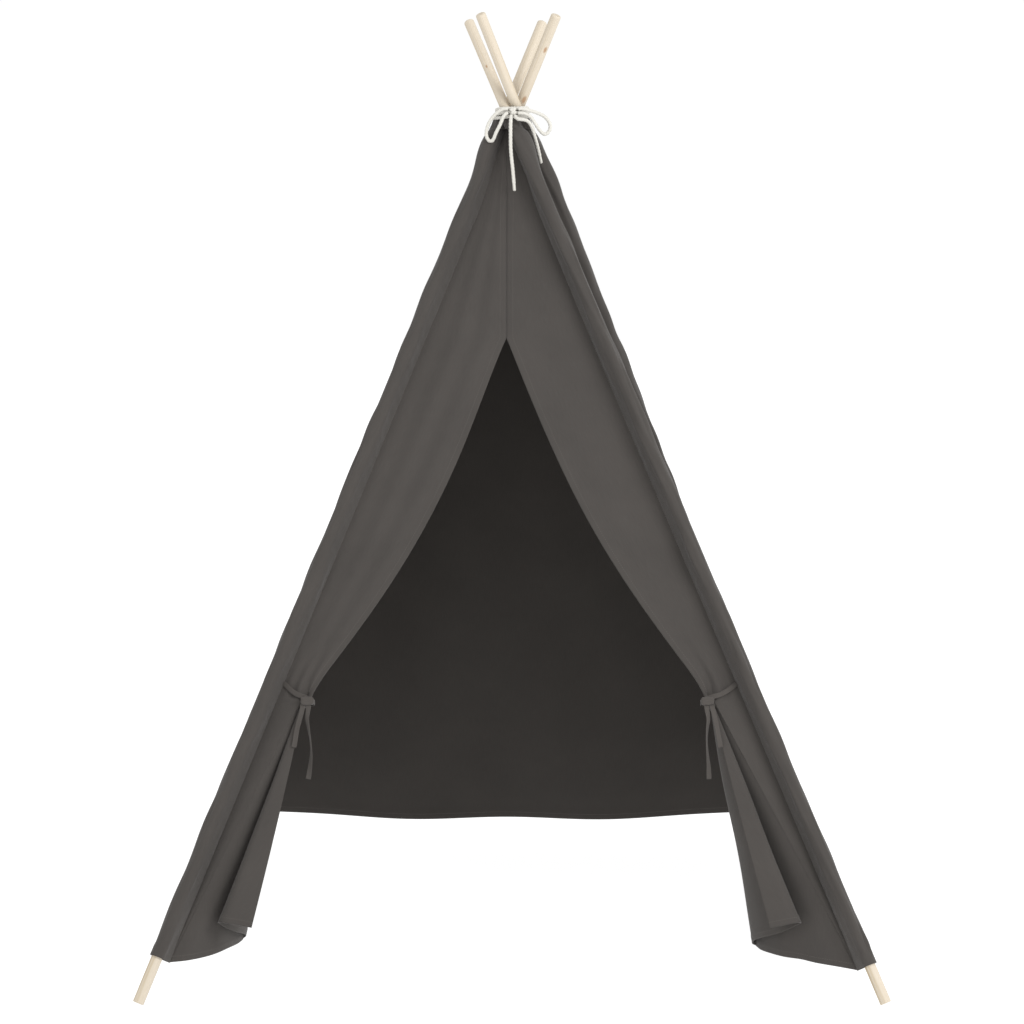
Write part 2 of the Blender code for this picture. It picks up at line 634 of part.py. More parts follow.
def make_lashing(poles, root):
    """The cord's turns round the collar, as one unbroken tube."""
    margin = COLLAR_PLAY + COLLAR_WALL + GAP + TURN_SLACK + CORD_DIAMETER / 2
    middle = CROSSING_HEIGHT - LASHING_MIDDLE_BELOW_CROSSING
    low = middle - TURN_PITCH * LASHING_TURNS / 2
    points = []
    around = 4 * ARC_POINTS
    for turn in range(LASHING_TURNS):
        for step in range(around):
            height = low + TURN_PITCH * (turn + step / around)
            points.append(outline_points(poles, height, margin, ARC_POINTS)[step])
            points[-1].z = height
    tube("lashing_turns", points, CORD_DIAMETER, root, 1)
    return points


def bow_place(points):
    """The middle of the bow's knot, set back until its rounded body just clears the cord's turns."""
    fine = [lerp(a, b, step / LINE_STEPS) for a, b in zip(points, points[1:]) for step in range(LINE_STEPS)]
    height = CROSSING_HEIGHT - BOW_BELOW_CROSSING
    rounding = min(BOW_KNOT_WIDTH, BOW_KNOT_DEPTH, BOW_KNOT_HEIGHT) * KNOT_ROUNDING_SHARE
    clear = rounding + CORD_DIAMETER / 2 + GAP
    back = math.inf
    for point in fine:
        beside = max(abs(point.x - BOW_RIGHT) - BOW_KNOT_WIDTH / 2 + rounding, 0)
        above = max(abs(point.z - height) - BOW_KNOT_HEIGHT / 2 + rounding, 0)
        left_over = clear ** 2 - beside ** 2 - above ** 2
        if left_over > 0:
            back = min(back, point.y - math.sqrt(left_over))
    return Vector((BOW_RIGHT, back - BOW_KNOT_DEPTH / 2 + rounding, height))


def least_gap(points, diameter):
    """The least gap between a tube's turns, measured between points well apart along it."""
    far = 4 * diameter
    travelled = [0]
    for a, b in zip(points, points[1:]):
        travelled.append(travelled[-1] + (b - a).length)
    least = math.inf
    for i, a in enumerate(points):
        for j in range(i + 1, len(points)):
            if travelled[j] - travelled[i] > far:
                least = min(least, (points[j] - a).length - diameter)
    return least


clear_scene()
parts = new_collection("play_teepee")
poles = {name: Pole(name, *signs) for name, signs in CORNERS.items()}
for each in poles.values():
    make_pole(each)
    make_channel(each)
sides = {
    "front": Side("front", poles["front_left"], poles["front_right"]),
    "right": Side("right", poles["front_right"], poles["back_right"]),
    "back": Side("back", poles["back_right"], poles["back_left"]),
    "left": Side("left", poles["back_left"], poles["front_left"]),
}
for name in ("right", "back", "left"):
    make_plain_side(sides[name])
flaps = (
    Flap(sides["front"], "front_left", -1, LEFT_EDGE_FROM_SEAM, LEFT_TIE_FROM_SEAM, LEFT_HEM_SHARES),
    Flap(sides["front"], "front_right", 1, RIGHT_EDGE_FROM_SEAM, RIGHT_TIE_FROM_SEAM, RIGHT_HEM_SHARES),
)
for each, tails in zip(flaps, (LEFT_TIE_TAILS_MM, RIGHT_TIE_TAILS_MM)):
    make_flap(each)
    make_skirt(each)
    make_tie(each, tails)
root = add_pivot("lashing_middle", Vector((0, 0, CROSSING_HEIGHT)))
ring_order = list(poles.values())
make_collar(ring_order, root)
turns = make_lashing(ring_order, root)
print("lashing turns' least gap to themselves:", round(least_gap(turns, CORD_DIAMETER), 5))
bow = bow_place(turns)
knot = rounded_block("bow_knot", bow, BOW_KNOT_WIDTH, BOW_KNOT_DEPTH, BOW_KNOT_HEIGHT, parent=root)
dress(knot, CORD, 0.85)
for name, route in (
    ("bow_left_loop", LEFT_LOOP_MM),
    ("bow_right_loop", RIGHT_LOOP_MM),
    ("bow_front_tail", FRONT_TAIL_MM),
    ("bow_right_tail", RIGHT_TAIL_MM),
):
    points = [bow + Vector((x, -y, z)) * MM for x, y, z in route]
    tube(name, smooth_route(points, CORD_POINT_SPACING), CORD_DIAMETER, root, 2)
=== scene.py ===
# %% [markdown]
# # A play teepee in cotton canvas
# Four pine poles cross under a corded lashing and carry a square cotton cover. The doorway's two flaps
# are tied back to the poles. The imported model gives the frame: every pole, seam and joint is where it says.
# This file dresses it. Cloth is worked out as surfaces of two parameters, cords and ribbons as profiles
# carried along a path, and each finish is a material built from nodes.

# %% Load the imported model
import json
import math
from math import pi, tau

import bpy
import numpy as np
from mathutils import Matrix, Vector


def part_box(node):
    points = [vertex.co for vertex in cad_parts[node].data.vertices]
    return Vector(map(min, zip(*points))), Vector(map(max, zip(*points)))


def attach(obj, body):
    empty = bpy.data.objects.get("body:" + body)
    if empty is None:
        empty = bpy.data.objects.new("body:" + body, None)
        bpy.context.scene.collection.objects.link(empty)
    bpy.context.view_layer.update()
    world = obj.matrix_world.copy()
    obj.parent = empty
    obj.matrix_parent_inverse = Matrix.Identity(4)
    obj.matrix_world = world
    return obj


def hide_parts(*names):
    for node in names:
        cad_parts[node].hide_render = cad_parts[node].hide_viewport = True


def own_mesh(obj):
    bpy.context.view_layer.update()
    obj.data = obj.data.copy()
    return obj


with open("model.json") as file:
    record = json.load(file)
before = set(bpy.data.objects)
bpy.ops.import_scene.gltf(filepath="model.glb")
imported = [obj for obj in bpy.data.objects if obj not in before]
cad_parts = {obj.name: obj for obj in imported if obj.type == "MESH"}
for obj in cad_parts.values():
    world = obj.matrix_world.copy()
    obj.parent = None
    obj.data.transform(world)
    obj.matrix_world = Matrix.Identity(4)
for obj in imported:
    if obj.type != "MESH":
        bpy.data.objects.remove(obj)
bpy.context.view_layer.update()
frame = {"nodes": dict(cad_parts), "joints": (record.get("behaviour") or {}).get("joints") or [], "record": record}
scene = bpy.context.scene
CORNERS = ("front_left", "front_right", "back_right", "back_left")
mounts = {mount["name"]: mount for mount in frame["record"]["mounts"]}
joints = {joint["name"]: joint for joint in frame["joints"]}
FOOT = {c: np.array(mounts[f"{c}_foot"]["pos_m"]) for c in CORNERS}
ALONG = {c: -np.array(mounts[f"{c}_foot"]["axis"]) for c in CORNERS}
CROSSING_HEIGHT = float(np.mean([joints[f"{c}_pole_fold"]["pos_m"][2] for c in CORNERS]))
print("crossing at", round(CROSSING_HEIGHT, 4), "with", len(frame["nodes"]), "nodes")

# %% [markdown]
# ## The camera
# A long lens from a little above the doorway's middle, pitched down a few degrees. The place, pitch and
# lens were worked out from where the four feet, the tips and the crossing stand in the photograph.

# %% Camera
CAMERA_DISTANCE = 4.4536
CAMERA_HEIGHT = 1.1688
CAMERA_PITCH = 0.0992
CAMERA_LENS = 88.04

lens = bpy.data.cameras.new("camera")
lens.lens = CAMERA_LENS
camera = bpy.data.objects.new("camera", lens)
camera.location = (0, -CAMERA_DISTANCE, CAMERA_HEIGHT)
camera.rotation_euler = (pi / 2 - CAMERA_PITCH, 0, 0)
scene.collection.objects.link(camera)
scene.camera = camera

# %% [markdown]
# ## Small tools
# Every shape below is an array of points. These helpers ease, blend and resample such arrays, and turn a
# grid of points into a mesh with a UV map in metres, so that a weave has its real scale on every piece.

# %% Array helpers
X_AXIS, Y_AXIS, Z_AXIS = np.eye(3)


def ease(x):
    """0 below 0, 1 above 1, and 3x² - 2x³ between them."""
    x = np.clip(x, 0, 1)
    return x * x * (3 - 2 * x)


def mix(a, b, share):
    """The straight blend a + (b - a)·share."""
    return a + (b - a) * share


def hump(x):
    """sin(πx): 0 at both ends of 0 to 1, and 1 half way."""
    return np.sin(pi * x)


def unit(vectors):
    return vectors / np.linalg.norm(vectors, axis=-1, keepdims=True)


def spline(points, count):
    """A Catmull-Rom curve through the points, at even steps of its parameter."""
    points = np.asarray(points, float)
    padded = np.vstack([2 * points[0] - points[1], points, 2 * points[-1] - points[-2]])
    t = np.linspace(0, len(points) - 1, count)
    k = np.minimum(t.astype(int), len(points) - 2)
    f = (t - k)[:, None]
    a, b, c, d = padded[k], padded[k + 1], padded[k + 2], padded[k + 3]
    return (2 * b + (c - a) * f + (2 * a - 5 * b + 4 * c - d) * f**2 + (3 * b - a - 3 * c + d) * f**3) / 2


def run_of(path):
    """The distance travelled at each point of a path."""
    return np.concatenate([[0], np.cumsum(np.linalg.norm(np.diff(path, axis=0), axis=1))])


def length_of(path):
    return float(run_of(path)[-1])


def sampled(path, run, at):
    """The points at these distances of a path whose own points stand at the distances run."""
    return np.stack([np.interp(at, run, path[:, k]) for k in range(3)], axis=-1)


def evenly(path, spacing):
    """The same path, with its points an even distance apart along it."""
    run = run_of(path)
    return sampled(path, run, np.linspace(0, run[-1], max(int(round(run[-1] / spacing)), 2) + 1))


def uneven(u, v, seed, low, high, waves=8):
    """A smooth unevenness between about -1 and 1: a sum of sines with seeded directions, lengths and phases."""
    draw = np.random.default_rng(seed)
    count = draw.uniform(low, high, waves)
    angle = draw.uniform(0, pi, waves)
    phase = draw.uniform(0, tau, waves)
    u, v = np.broadcast_arrays(u, v)
    turns = u[..., None] * count * np.cos(angle) + v[..., None] * count * np.sin(angle)
    return np.sin(tau * turns + phase).sum(axis=-1) / math.sqrt(waves) / 1.4


# %% Meshes from grids of points
def metres(surface):
    """UVs in metres: the distances travelled along a grid's rows and down its columns."""
    across = np.linalg.norm(np.diff(surface, axis=1), axis=-1)
    down = np.linalg.norm(np.diff(surface, axis=0), axis=-1)
    u = np.pad(np.cumsum(across, axis=1), ((0, 0), (1, 0)))
    v = np.pad(np.cumsum(down, axis=0), ((1, 0), (0, 0)))
    return np.stack([u - u[:, -1:] / 2, -v], axis=-1)


def faces_of(spots):
    """The quads of a grid of indices, each as its four corners in turn."""
    corners = [spots[:-1, :-1], spots[1:, :-1], spots[1:, 1:], spots[:-1, 1:]]
    return np.stack(corners, axis=-1).reshape(-1, 4)


def grid_mesh(name, surface, wrap=False, keep=None, caps=False):
    """A mesh from a (rows, columns, 3) array: wrap joins its last column to its first, keep masks its quads.

    A wrapped grid is a tube, and its faces are turned to look outwards: the sum of a·(b x c + c x d) over its
    quads, taken about its own middle where it gets caps, is then positive.
    """
    rows, columns = surface.shape[:2]
    spots = np.arange(rows * columns).reshape(rows, columns)
    points = surface.reshape(-1, 3)
    if wrap:
        spots, surface = (np.concatenate([grid, grid[:, :1]], axis=1) for grid in (spots, surface))
    quads, uv_quads = faces_of(spots), faces_of(np.arange(rows * spots.shape[1]).reshape(rows, -1))
    if keep is not None:
        kept = keep.reshape(-1)
        used, quads = np.unique(quads[kept], return_inverse=True)
        quads, uv_quads, points = quads.reshape(-1, 4), uv_quads[kept], points[used]
    middle = points.mean(axis=0) if caps else 0
    a, b, c, d = (points[quads[:, k]] - middle for k in range(4))
    order = -1 if wrap and (a * (np.cross(b, c) + np.cross(c, d))).sum() < 0 else 1
    faces = quads[:, ::order].tolist()
    uvs = metres(surface).reshape(-1, 2)[uv_quads[:, ::order]].reshape(-1, 2)
    if caps:
        faces += [end[::order].tolist() for end in (spots[0, :columns], spots[-1, :columns][::-1])]
        uvs = np.vstack([uvs, np.zeros((2 * columns, 2))])
    mesh = bpy.data.meshes.new(name)
    mesh.from_pydata(points.tolist(), [], faces)
    mesh.uv_layers.new(name="UVMap").data.foreach_set("uv", uvs.reshape(-1))
    mesh.shade_smooth()
    return mesh


def add(name, mesh, body, material, replaced=None):
    """Puts a finished mesh in the scene on its body, in place of the solid that it stands for."""
    thing = bpy.data.objects.new(name, mesh)
    scene.collection.objects.link(thing)
    mesh.materials.append(material)
    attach(thing, body)
    if replaced is not None:
        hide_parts(replaced)
    return thing


# %% [markdown]
# ## Materials
# Cotton canvas is a plain weave: threads go over and under each other about once a millimetre. The product
# of two sines gives that relief, and slow noise gives the faint mottling of dyed cloth. A little sheen
# stands for the fibres that catch light at the edges.

# %% Node helpers
def new_material(name, finish):
    """A material whose shader has the finish's numbers, and a function that adds and wires a node."""
    material = bpy.data.materials.new(name)
    material.use_nodes = True
    tree = material.node_tree
    for key, value in finish.items():
        tree.nodes["Principled BSDF"].inputs[key].default_value = value

    def node(kind, inputs=None, **settings):
        made = tree.nodes.new(kind)
        for key, value in settings.items():
            setattr(made, key, value)
        for key, value in (inputs or {}).items():
            if isinstance(value, bpy.types.NodeSocket):
                tree.links.new(value, made.inputs[key])
            else:
                made.inputs[key].default_value = value
        return made

    return material, node


def reckon(node, operation, *values):
    """One operation on numbers and sockets."""
    return node("ShaderNodeMath", dict(enumerate(values)), operation=operation).outputs[0]


def noise(node, spot, scale, detail, stretch=None):
    """Smooth noise, finer along an axis whose stretch is larger."""
    if stretch is not None:
        spot = node("ShaderNodeMapping", {"Vector": spot, "Scale": stretch}).outputs["Vector"]
    return node("ShaderNodeTexNoise", {"Vector": spot, "Scale": scale, "Detail": detail}).outputs["Fac"]


def ramp(node, source, stops):
    """A colour ramp with the given (place, colour) stops."""
    made = node("ShaderNodeValToRGB", {"Fac": source})
    elements = made.color_ramp.elements
    while len(elements) < len(stops):
        elements.new(0.5)
    for element, (place, colour) in zip(elements, stops):
        element.position = place
        element.color = (*colour, 1)
    return made.outputs["Color"]


def dress(material, node, colour, relief=None, strength=0.0, depth=0.0):
    """Wires a colour to the shader, and a bump from the relief, whose full height is depth."""
    links, shader = material.node_tree.links, material.node_tree.nodes["Principled BSDF"]
    links.new(colour, shader.inputs["Base Color"])
    if relief is not None:
        bump = node("ShaderNodeBump", {"Height": relief, "Strength": strength, "Distance": depth})
        links.new(bump.outputs["Normal"], shader.inputs["Normal"])
    return material


# %% Cotton canvas
WEAVE_PITCH = 0.0011
WEAVE_DEPTH = 0.00018
SLUBS_PER_METRE = (900, 45, 1)
SLUB_SHARE = 1.2  # of the weave's own relief
MOTTLE_PER_METRE = 9
COTTON = {"Roughness": 0.9, "Sheen Weight": 0.12, "Sheen Roughness": 0.5, "Specular IOR Level": 0.25}


def canvas(name, dark, light):
    """Plain weave dyed between two colours: height = sin(2πu / pitch)·sin(2πv / pitch), with slubs."""
    material, node = new_material(name, COTTON)
    spot = node("ShaderNodeUVMap", uv_map="UVMap").outputs["UV"]
    apart = node("ShaderNodeSeparateXYZ", {"Vector": spot}).outputs
    turn = tau / WEAVE_PITCH
    warp, weft = (reckon(node, "SINE", reckon(node, "MULTIPLY", apart[axis], turn)) for axis in "XY")
    slub = noise(node, spot, 1.0, 2.0, SLUBS_PER_METRE)
    mottle = noise(node, spot, MOTTLE_PER_METRE, 5.0)
    half = reckon(node, "MULTIPLY", reckon(node, "ADD", slub, mottle), 0.5)
    colour = ramp(node, half, [(0.34, dark), (0.66, light)])
    relief = reckon(node, "MULTIPLY_ADD", slub, SLUB_SHARE, reckon(node, "MULTIPLY", warp, weft))
    return dress(material, node, colour, relief, 0.35, WEAVE_DEPTH)


CANVAS = canvas("cotton_canvas", (0.052, 0.047, 0.043), (0.063, 0.0565, 0.0515))
# A darker copy of the same canvas for the inner face of the sides: painted shade, standing in for the shade inside
# the tent.
PAINTED_SHADE_CANVAS = canvas("cotton_canvas_painted_shade", (0.030, 0.0262, 0.0232), (0.037, 0.0323, 0.0285))
TAPE = canvas("cotton_tape", (0.060, 0.054, 0.049), (0.074, 0.066, 0.060))
THREAD = canvas("sewing_thread", (0.085, 0.077, 0.070), (0.100, 0.091, 0.083))

# %% [markdown]
# Pine is pale, with soft streaks along the pole and a few small knots. The grain is noise stretched along
# the pole's own axis, so each pole's coordinates are first turned to stand its axis upright.

# %% Pine, cord and steel
POLE_RADIUS = 0.009
GRAIN_DEPTH = 0.0002
STREAKS_PER_METRE = (420, 420, 9)
BANDS_PER_METRE = (90, 90, 3)
PINE_LIGHT = (0.58, 0.51, 0.41)
PINE_MIDDLE = (0.53, 0.45, 0.33)
PINE_DARK = (0.44, 0.35, 0.23)
KNOT_BROWN = (0.36, 0.21, 0.11)
KNOT_LONG = 0.55  # a knot's width as a share of its length
KNOTS = {  # (run along the pole, angle round it, radius)
    "front_left": ((1.700, 200, 0.0045),),
    "back_left": ((1.780, 300, 0.004), (1.683, 290, 0.005)),
    "front_right": ((1.745, 250, 0.0022),),
    "back_right": ((1.730, 120, 0.004),),
}


def pine(corner):
    """Bare pine on a pole: streaks of stretched noise, growth bands, and knots at (run, angle, radius)."""
    material, node = new_material(f"{corner}_pine", {"Roughness": 0.55})
    upright = Vector(ALONG[corner]).rotation_difference(Vector((0, 0, 1)))
    place = -(upright @ Vector(FOOT[corner]))
    inputs = {"Location": place, "Rotation": upright.to_euler()}
    inputs["Vector"] = node("ShaderNodeTexCoord").outputs["Object"]
    spot = node("ShaderNodeMapping", inputs).outputs["Vector"]
    streak = noise(node, spot, 1.0, 4.0, STREAKS_PER_METRE)
    band = noise(node, spot, 1.0, 2.0, BANDS_PER_METRE)
    both = reckon(node, "MULTIPLY_ADD", streak, 0.45, band)
    colour = ramp(node, both, [(0.52, PINE_DARK), (0.66, PINE_MIDDLE), (0.80, PINE_LIGHT)])
    for run, angle, radius in KNOTS[corner]:
        turn = math.radians(angle)
        middle = (POLE_RADIUS * math.cos(turn), POLE_RADIUS * math.sin(turn), run)
        away = node("ShaderNodeVectorMath", {0: spot, 1: middle}, operation="SUBTRACT").outputs[0]
        shape = (1 / radius, 1 / radius, KNOT_LONG / radius)
        flat = node("ShaderNodeVectorMath", {0: away, 1: shape}, operation="MULTIPLY").outputs[0]
        far = node("ShaderNodeVectorMath", {0: flat}, operation="LENGTH").outputs["Value"]
        fade = {"Value": far, "From Min": 0.45, "From Max": 1.0, "To Min": 0.85, "To Max": 0.0}
        share = node("ShaderNodeMapRange", fade).outputs["Result"]
        inputs = {"Factor": share, 6: colour, 7: (*KNOT_BROWN, 1)}
        colour = node("ShaderNodeMix", inputs, data_type="RGBA").outputs[2]
    return dress(material, node, colour, streak, 0.25, GRAIN_DEPTH)


def speckled(name, finish, scale, detail, low, high, *bump):
    """Fine noise between two colours, and again as a bump where its strength and depth are given."""
    material, node = new_material(name, finish)
    fine = noise(node, node("ShaderNodeTexCoord").outputs["Object"], scale, detail)
    colour = ramp(node, fine, [(0.3, low), (0.7, high)])
    return dress(material, node, colour, fine if bump else None, *bump)


SOFT = {"Roughness": 0.85, "Sheen Weight": 0.2}
BRUSHED = {"Roughness": 0.35, "Metallic": 1.0}
IVORY = speckled("ivory_cord", SOFT, 1400, 3, (0.54, 0.52, 0.47), (0.66, 0.645, 0.60), 0.3, GRAIN_DEPTH)
STEEL = speckled("ferrule_steel", BRUSHED, 600, 2, (0.55, 0.55, 0.54), (0.68, 0.68, 0.67))
for corner in CORNERS:
    wood = pine(corner)
    for part in ("lower_dowel", "middle_dowel", "upper_dowel", "lower_ferrule", "upper_ferrule"):
        materials = frame["nodes"][f"{corner}_{part}"].data.materials
        materials.clear()
        materials.append(wood if "dowel" in part else STEEL)

# %% [markdown]
# ## The cord and its bow
# The cord is a twisted cotton rope. Its profile is a circle with three shallow lobes that turn as it runs,
# carried along its path. The bow's routes are the construction's own, so the knot sits on the turns.

# %% Cord sizes and routes
MM = 0.001
CORD_DIAMETER = 0.0066
CORD_SIDES = 14
CORD_STRANDS = 3
CORD_LAY = 0.019  # along the cord for one turn of its strands
STRAND_DEPTH = 0.07  # of the cord's radius
SEALED_END = 0.015  # the tip of a tail, dipped so that it can't fray
SEALED_RADIUS = 0.82  # of the cord's own
SEALED_EDGE = 0.002
TIP_ROUNDING = 0.0016
CORD_STEP = 0.0012
BOW_RIGHT = 0.002
BOW_BELOW_CROSSING = 0.004
LEFT_LOOP_MM = (
    (-8.9, 0.8, -3.6), (-12.5, 1.2, -4.6), (-17.5, 2.4, -11), (-23, 3.4, -24), (-30, 3.4, -38),
    (-33, 3, -46), (-37, 1.5, -51.5), (-42, -0.5, -51), (-45.5, -1.5, -46), (-47, -2.5, -38),
    (-44.5, -3, -26), (-39, -3, -15), (-30, -2, -4.6), (-19.5, -0.5, 2.8), (-12.5, 0.3, 4), (-8.9, 0.3, 3.7),
)
RIGHT_LOOP_MM = (
    (8.9, 0.3, 3.7), (13, 0.3, 4.3), (20, -0.3, 3.4), (29, -2, 1), (41, -4, -2.5), (54, -7, -8.5),
    (62, -9, -17), (65, -10, -26), (62.5, -10.5, -34.5), (56, -10, -39.5), (49.5, -9, -36), (43, -7, -28),
    (36.5, -5, -18), (30, -2, -9.5), (21, 0.8, -4.8), (13, 1.4, -3.7), (8.9, 1.2, -3.6),
)
FRONT_TAIL_MM = (
    (-3.6, 2.5, -7.7), (-3.8, 4.5, -11), (-4.2, 7, -17), (-4.5, 10.5, -25), (-4.5, 13.5, -38),
    (-4.5, 16.5, -52), (-4, 18.5, -68), (-2.5, 20, -85), (-0.5, 21, -103), (1, 22, -121), (2.5, 23, -139),
)
RIGHT_TAIL_MM = (
    (3.6, 2.5, -7.9), (4.6, 4.4, -11.2), (9.2, 7, -14), (16, 6.8, -14.8), (22.5, 4.5, -16), (28, 0.5, -19.5),
    (33.5, -5, -29), (37.5, -11, -42), (41.5, -18, -56), (45.5, -25, -72), (49.5, -32, -89),
)


def rope(name, path, beside, sealed=False):
    """A twisted cord carried along a path: radius = r·(1 - d + d·cos(3·(angle - 2π·run / lay)))."""
    tangent = unit(np.gradient(path, axis=0))
    side = unit(np.cross(tangent, beside))
    over = np.cross(side, tangent)
    run = run_of(path)
    angle = np.linspace(0, tau, CORD_SIDES + 1)[:-1, None]
    twist = angle.T - tau * run[:, None] / CORD_LAY
    radius = CORD_DIAMETER / 2 * (1 - STRAND_DEPTH + STRAND_DEPTH * np.cos(CORD_STRANDS * twist))
    if sealed:
        left = (run[-1] - run)[:, None]
        dipped = ease((SEALED_END - left) / SEALED_EDGE)
        rounded = np.sqrt(1 - np.clip(1 - left / TIP_ROUNDING, 0, 0.94) ** 2)
        radius = mix(radius, CORD_DIAMETER / 2 * SEALED_RADIUS, dipped) * rounded
    ring = side[:, None] * np.cos(angle) + over[:, None] * np.sin(angle)
    surface = path[:, None] + ring * radius[..., None]
    return grid_mesh(name, surface, wrap=True, caps=True)


# %% The bow's loops and tails
knot_low, knot_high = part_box("bow_knot")
BOW = np.array([BOW_RIGHT, (knot_low.y + knot_high.y) / 2, CROSSING_HEIGHT - BOW_BELOW_CROSSING])
for name, route, far_end in (
    ("bow_left_loop", LEFT_LOOP_MM, "object"),
    ("bow_right_loop", RIGHT_LOOP_MM, "object"),
    ("bow_front_tail", FRONT_TAIL_MM, "bare"),
    ("bow_right_tail", RIGHT_TAIL_MM, "bare"),
):
    steps = np.array(route) * MM
    points = BOW + np.stack([steps[:, 0], -steps[:, 1], steps[:, 2]], axis=1)
    path = evenly(spline(points, 12 * len(points)), CORD_STEP)
    twisted = rope(name, path, Y_AXIS, sealed=far_end == "bare")
    piece = add(f"{name}_cord", twisted, "lashing", IVORY, name)
    print(piece.name, "is", round(length_of(path), 3), "m long")

# %% [markdown]
# The bow's knot is the same cord wound twice round the crossing of the strands. The path is a flat helix,
# an ellipse seen from the side that walks sideways as it turns.

# %% The bow's knot
KNOT_TURNS = 2.0
KNOT_HALF_DEPTH = 0.0036
KNOT_HALF_HEIGHT = 0.0044
KNOT_WALK = 0.0072
KNOT_SWAY = 0.0012

t = np.linspace(0, 1, 90)
wind = tau * KNOT_TURNS * t
knot_path = BOW + np.stack([
    (t - 0.5) * KNOT_WALK + KNOT_SWAY * np.sin(wind),
    -KNOT_HALF_DEPTH * np.cos(wind),
    KNOT_HALF_HEIGHT * np.sin(wind),
], axis=1)
knot_mesh = rope("bow_knot", knot_path, X_AXIS)
add("bow_knot_wraps", knot_mesh, "lashing", IVORY, "bow_knot")

# %% [markdown]
# The turns follow the outline of the four crossing poles at each height: an arc round each pole and a
# straight run to the next one. The cord climbs by one pitch a turn, as one unbroken rope.

# %% The lashing's turns
COLLAR_WALL = 0.0012
COLLAR_PLAY = 0.001
GAP = 0.0003
TURN_SLACK = 0.0004
LASHING_TURNS = 3
END_TUCK = 0.0052  # how far each end of the cord goes in under the turns
TUCKED_STEPS = 7
TURN_PITCH = 0.007
LASHING_BELOW = 0.0055
TURN_STEP = 0.0014
ARC_STEPS = 12
LEAN = math.acos(ALONG["front_left"][2])
FEET, RISES = (np.array([places[corner] for corner in CORNERS]) for places in (FOOT, ALONG))


def on_axis(number, height):
    """Points on a numbered pole's axis: foot + along·(height - foot's height) / along's rise."""
    foot, along = FEET[number], RISES[number]
    return foot + along * ((height - foot[..., 2]) / along[..., 2])[..., None]


def outline(height, quarter, share, margin, past):
    """The level outline round four poles: at a share of the arc round pole number quarter.

    The arc goes on past both its ends by the angle past.
    """
    before, here, after = (on_axis((quarter + k) % 4, height)[..., :2] for k in (-1, 0, 1))
    first, last = (np.arctan2(leg[..., 1], leg[..., 0]) - pi / 2 for leg in (here - before, after - here))
    angle = first - past + ((last - first) % tau + 2 * past) * share
    radius = POLE_RADIUS / math.cos(LEAN) + margin
    flat = here + np.stack([np.cos(angle), np.sin(angle)], axis=-1) * radius[..., None]
    return np.concatenate([flat, np.broadcast_to(height, angle.shape)[..., None]], axis=-1)


step = np.arange(4 * ARC_STEPS * LASHING_TURNS)
low_turn = CROSSING_HEIGHT - LASHING_BELOW - TURN_PITCH * LASHING_TURNS / 2
turn_margin = COLLAR_PLAY + COLLAR_WALL + GAP + TURN_SLACK + CORD_DIAMETER / 2
tucked = 1 - ease(np.minimum(step, step[-1] - step) / TUCKED_STEPS)
turn_path = outline(
    low_turn + TURN_PITCH * step / (4 * ARC_STEPS),
    (step // ARC_STEPS) % 4,
    (step % ARC_STEPS) / (ARC_STEPS - 1),
    turn_margin - END_TUCK * tucked,
    0,
)
turn_path = evenly(turn_path, TURN_STEP)
turns_mesh = rope("lashing", turn_path, Z_AXIS)
add("lashing_cord", turns_mesh, "lashing", IVORY, "lashing_turns")
print("lashing cord", round(length_of(turn_path), 3), "m")

# %% [markdown]
# ## The cover's seams
# Each corner of the cover holds a pole in a channel: cloth folded round the pole and sewn down beside it.
# The seam line runs a little inside the pole, and the sides of the tent hang between the seam lines.

# %% Seam lines
CLOTH = 0.001
HEM_THICKNESS = 0.0024
HEM_WIDTH = 0.014
HEM_ROWS = 6
CHANNEL_RADIUS = 0.0109
CHANNEL_TAIL = 0.0255
TAIL_RADIUS = 0.001
TAPER_LENGTH = 0.15
COVER_TOP = CROSSING_HEIGHT - 0.0255
CHANNEL_HEM = 0.064
SIDE_HEM = 0.077
UPPER_ROW = 0.72  # of the crossing's height: the second row that gives a side its directions


def seam_of(corner, height):
    """The channel's seam at these heights of the pole's axis: its place, the way in, and its distance."""
    axis = on_axis(CORNERS.index(corner), np.asarray(height, float))
    inward = unit(-axis * (1, 1, 0))
    inward = unit(inward - ALONG[corner] * (inward @ ALONG[corner])[..., None])
    narrow = CHANNEL_RADIUS - TAIL_RADIUS / 2
    length = mix(narrow, CHANNEL_TAIL, ease((COVER_TOP - height) / TAPER_LENGTH))
    return axis + inward * length[..., None], inward, length


def fall_of(height, hem_height=CHANNEL_HEM):
    """How far down the cover, as a column: 0 at its top and 1 at its hem."""
    return ((COVER_TOP - height) / (COVER_TOP - hem_height))[:, None]


def side_seams(left, right, height):
    """The two seam lines that a side hangs between."""
    return seam_of(left, height)[0], seam_of(right, height)[0]


def side_frame(left, right):
    """A side's own directions: across it, down it and out of it."""
    a, b = side_seams(left, right, np.array([CHANNEL_HEM, CROSSING_HEIGHT * UPPER_ROW]))
    across = unit(b[0] - a[0])
    out = unit(np.cross(b[0] - a[0], (a[1] + b[1]) / 2 - a[0]))
    return across, np.cross(across, out), out


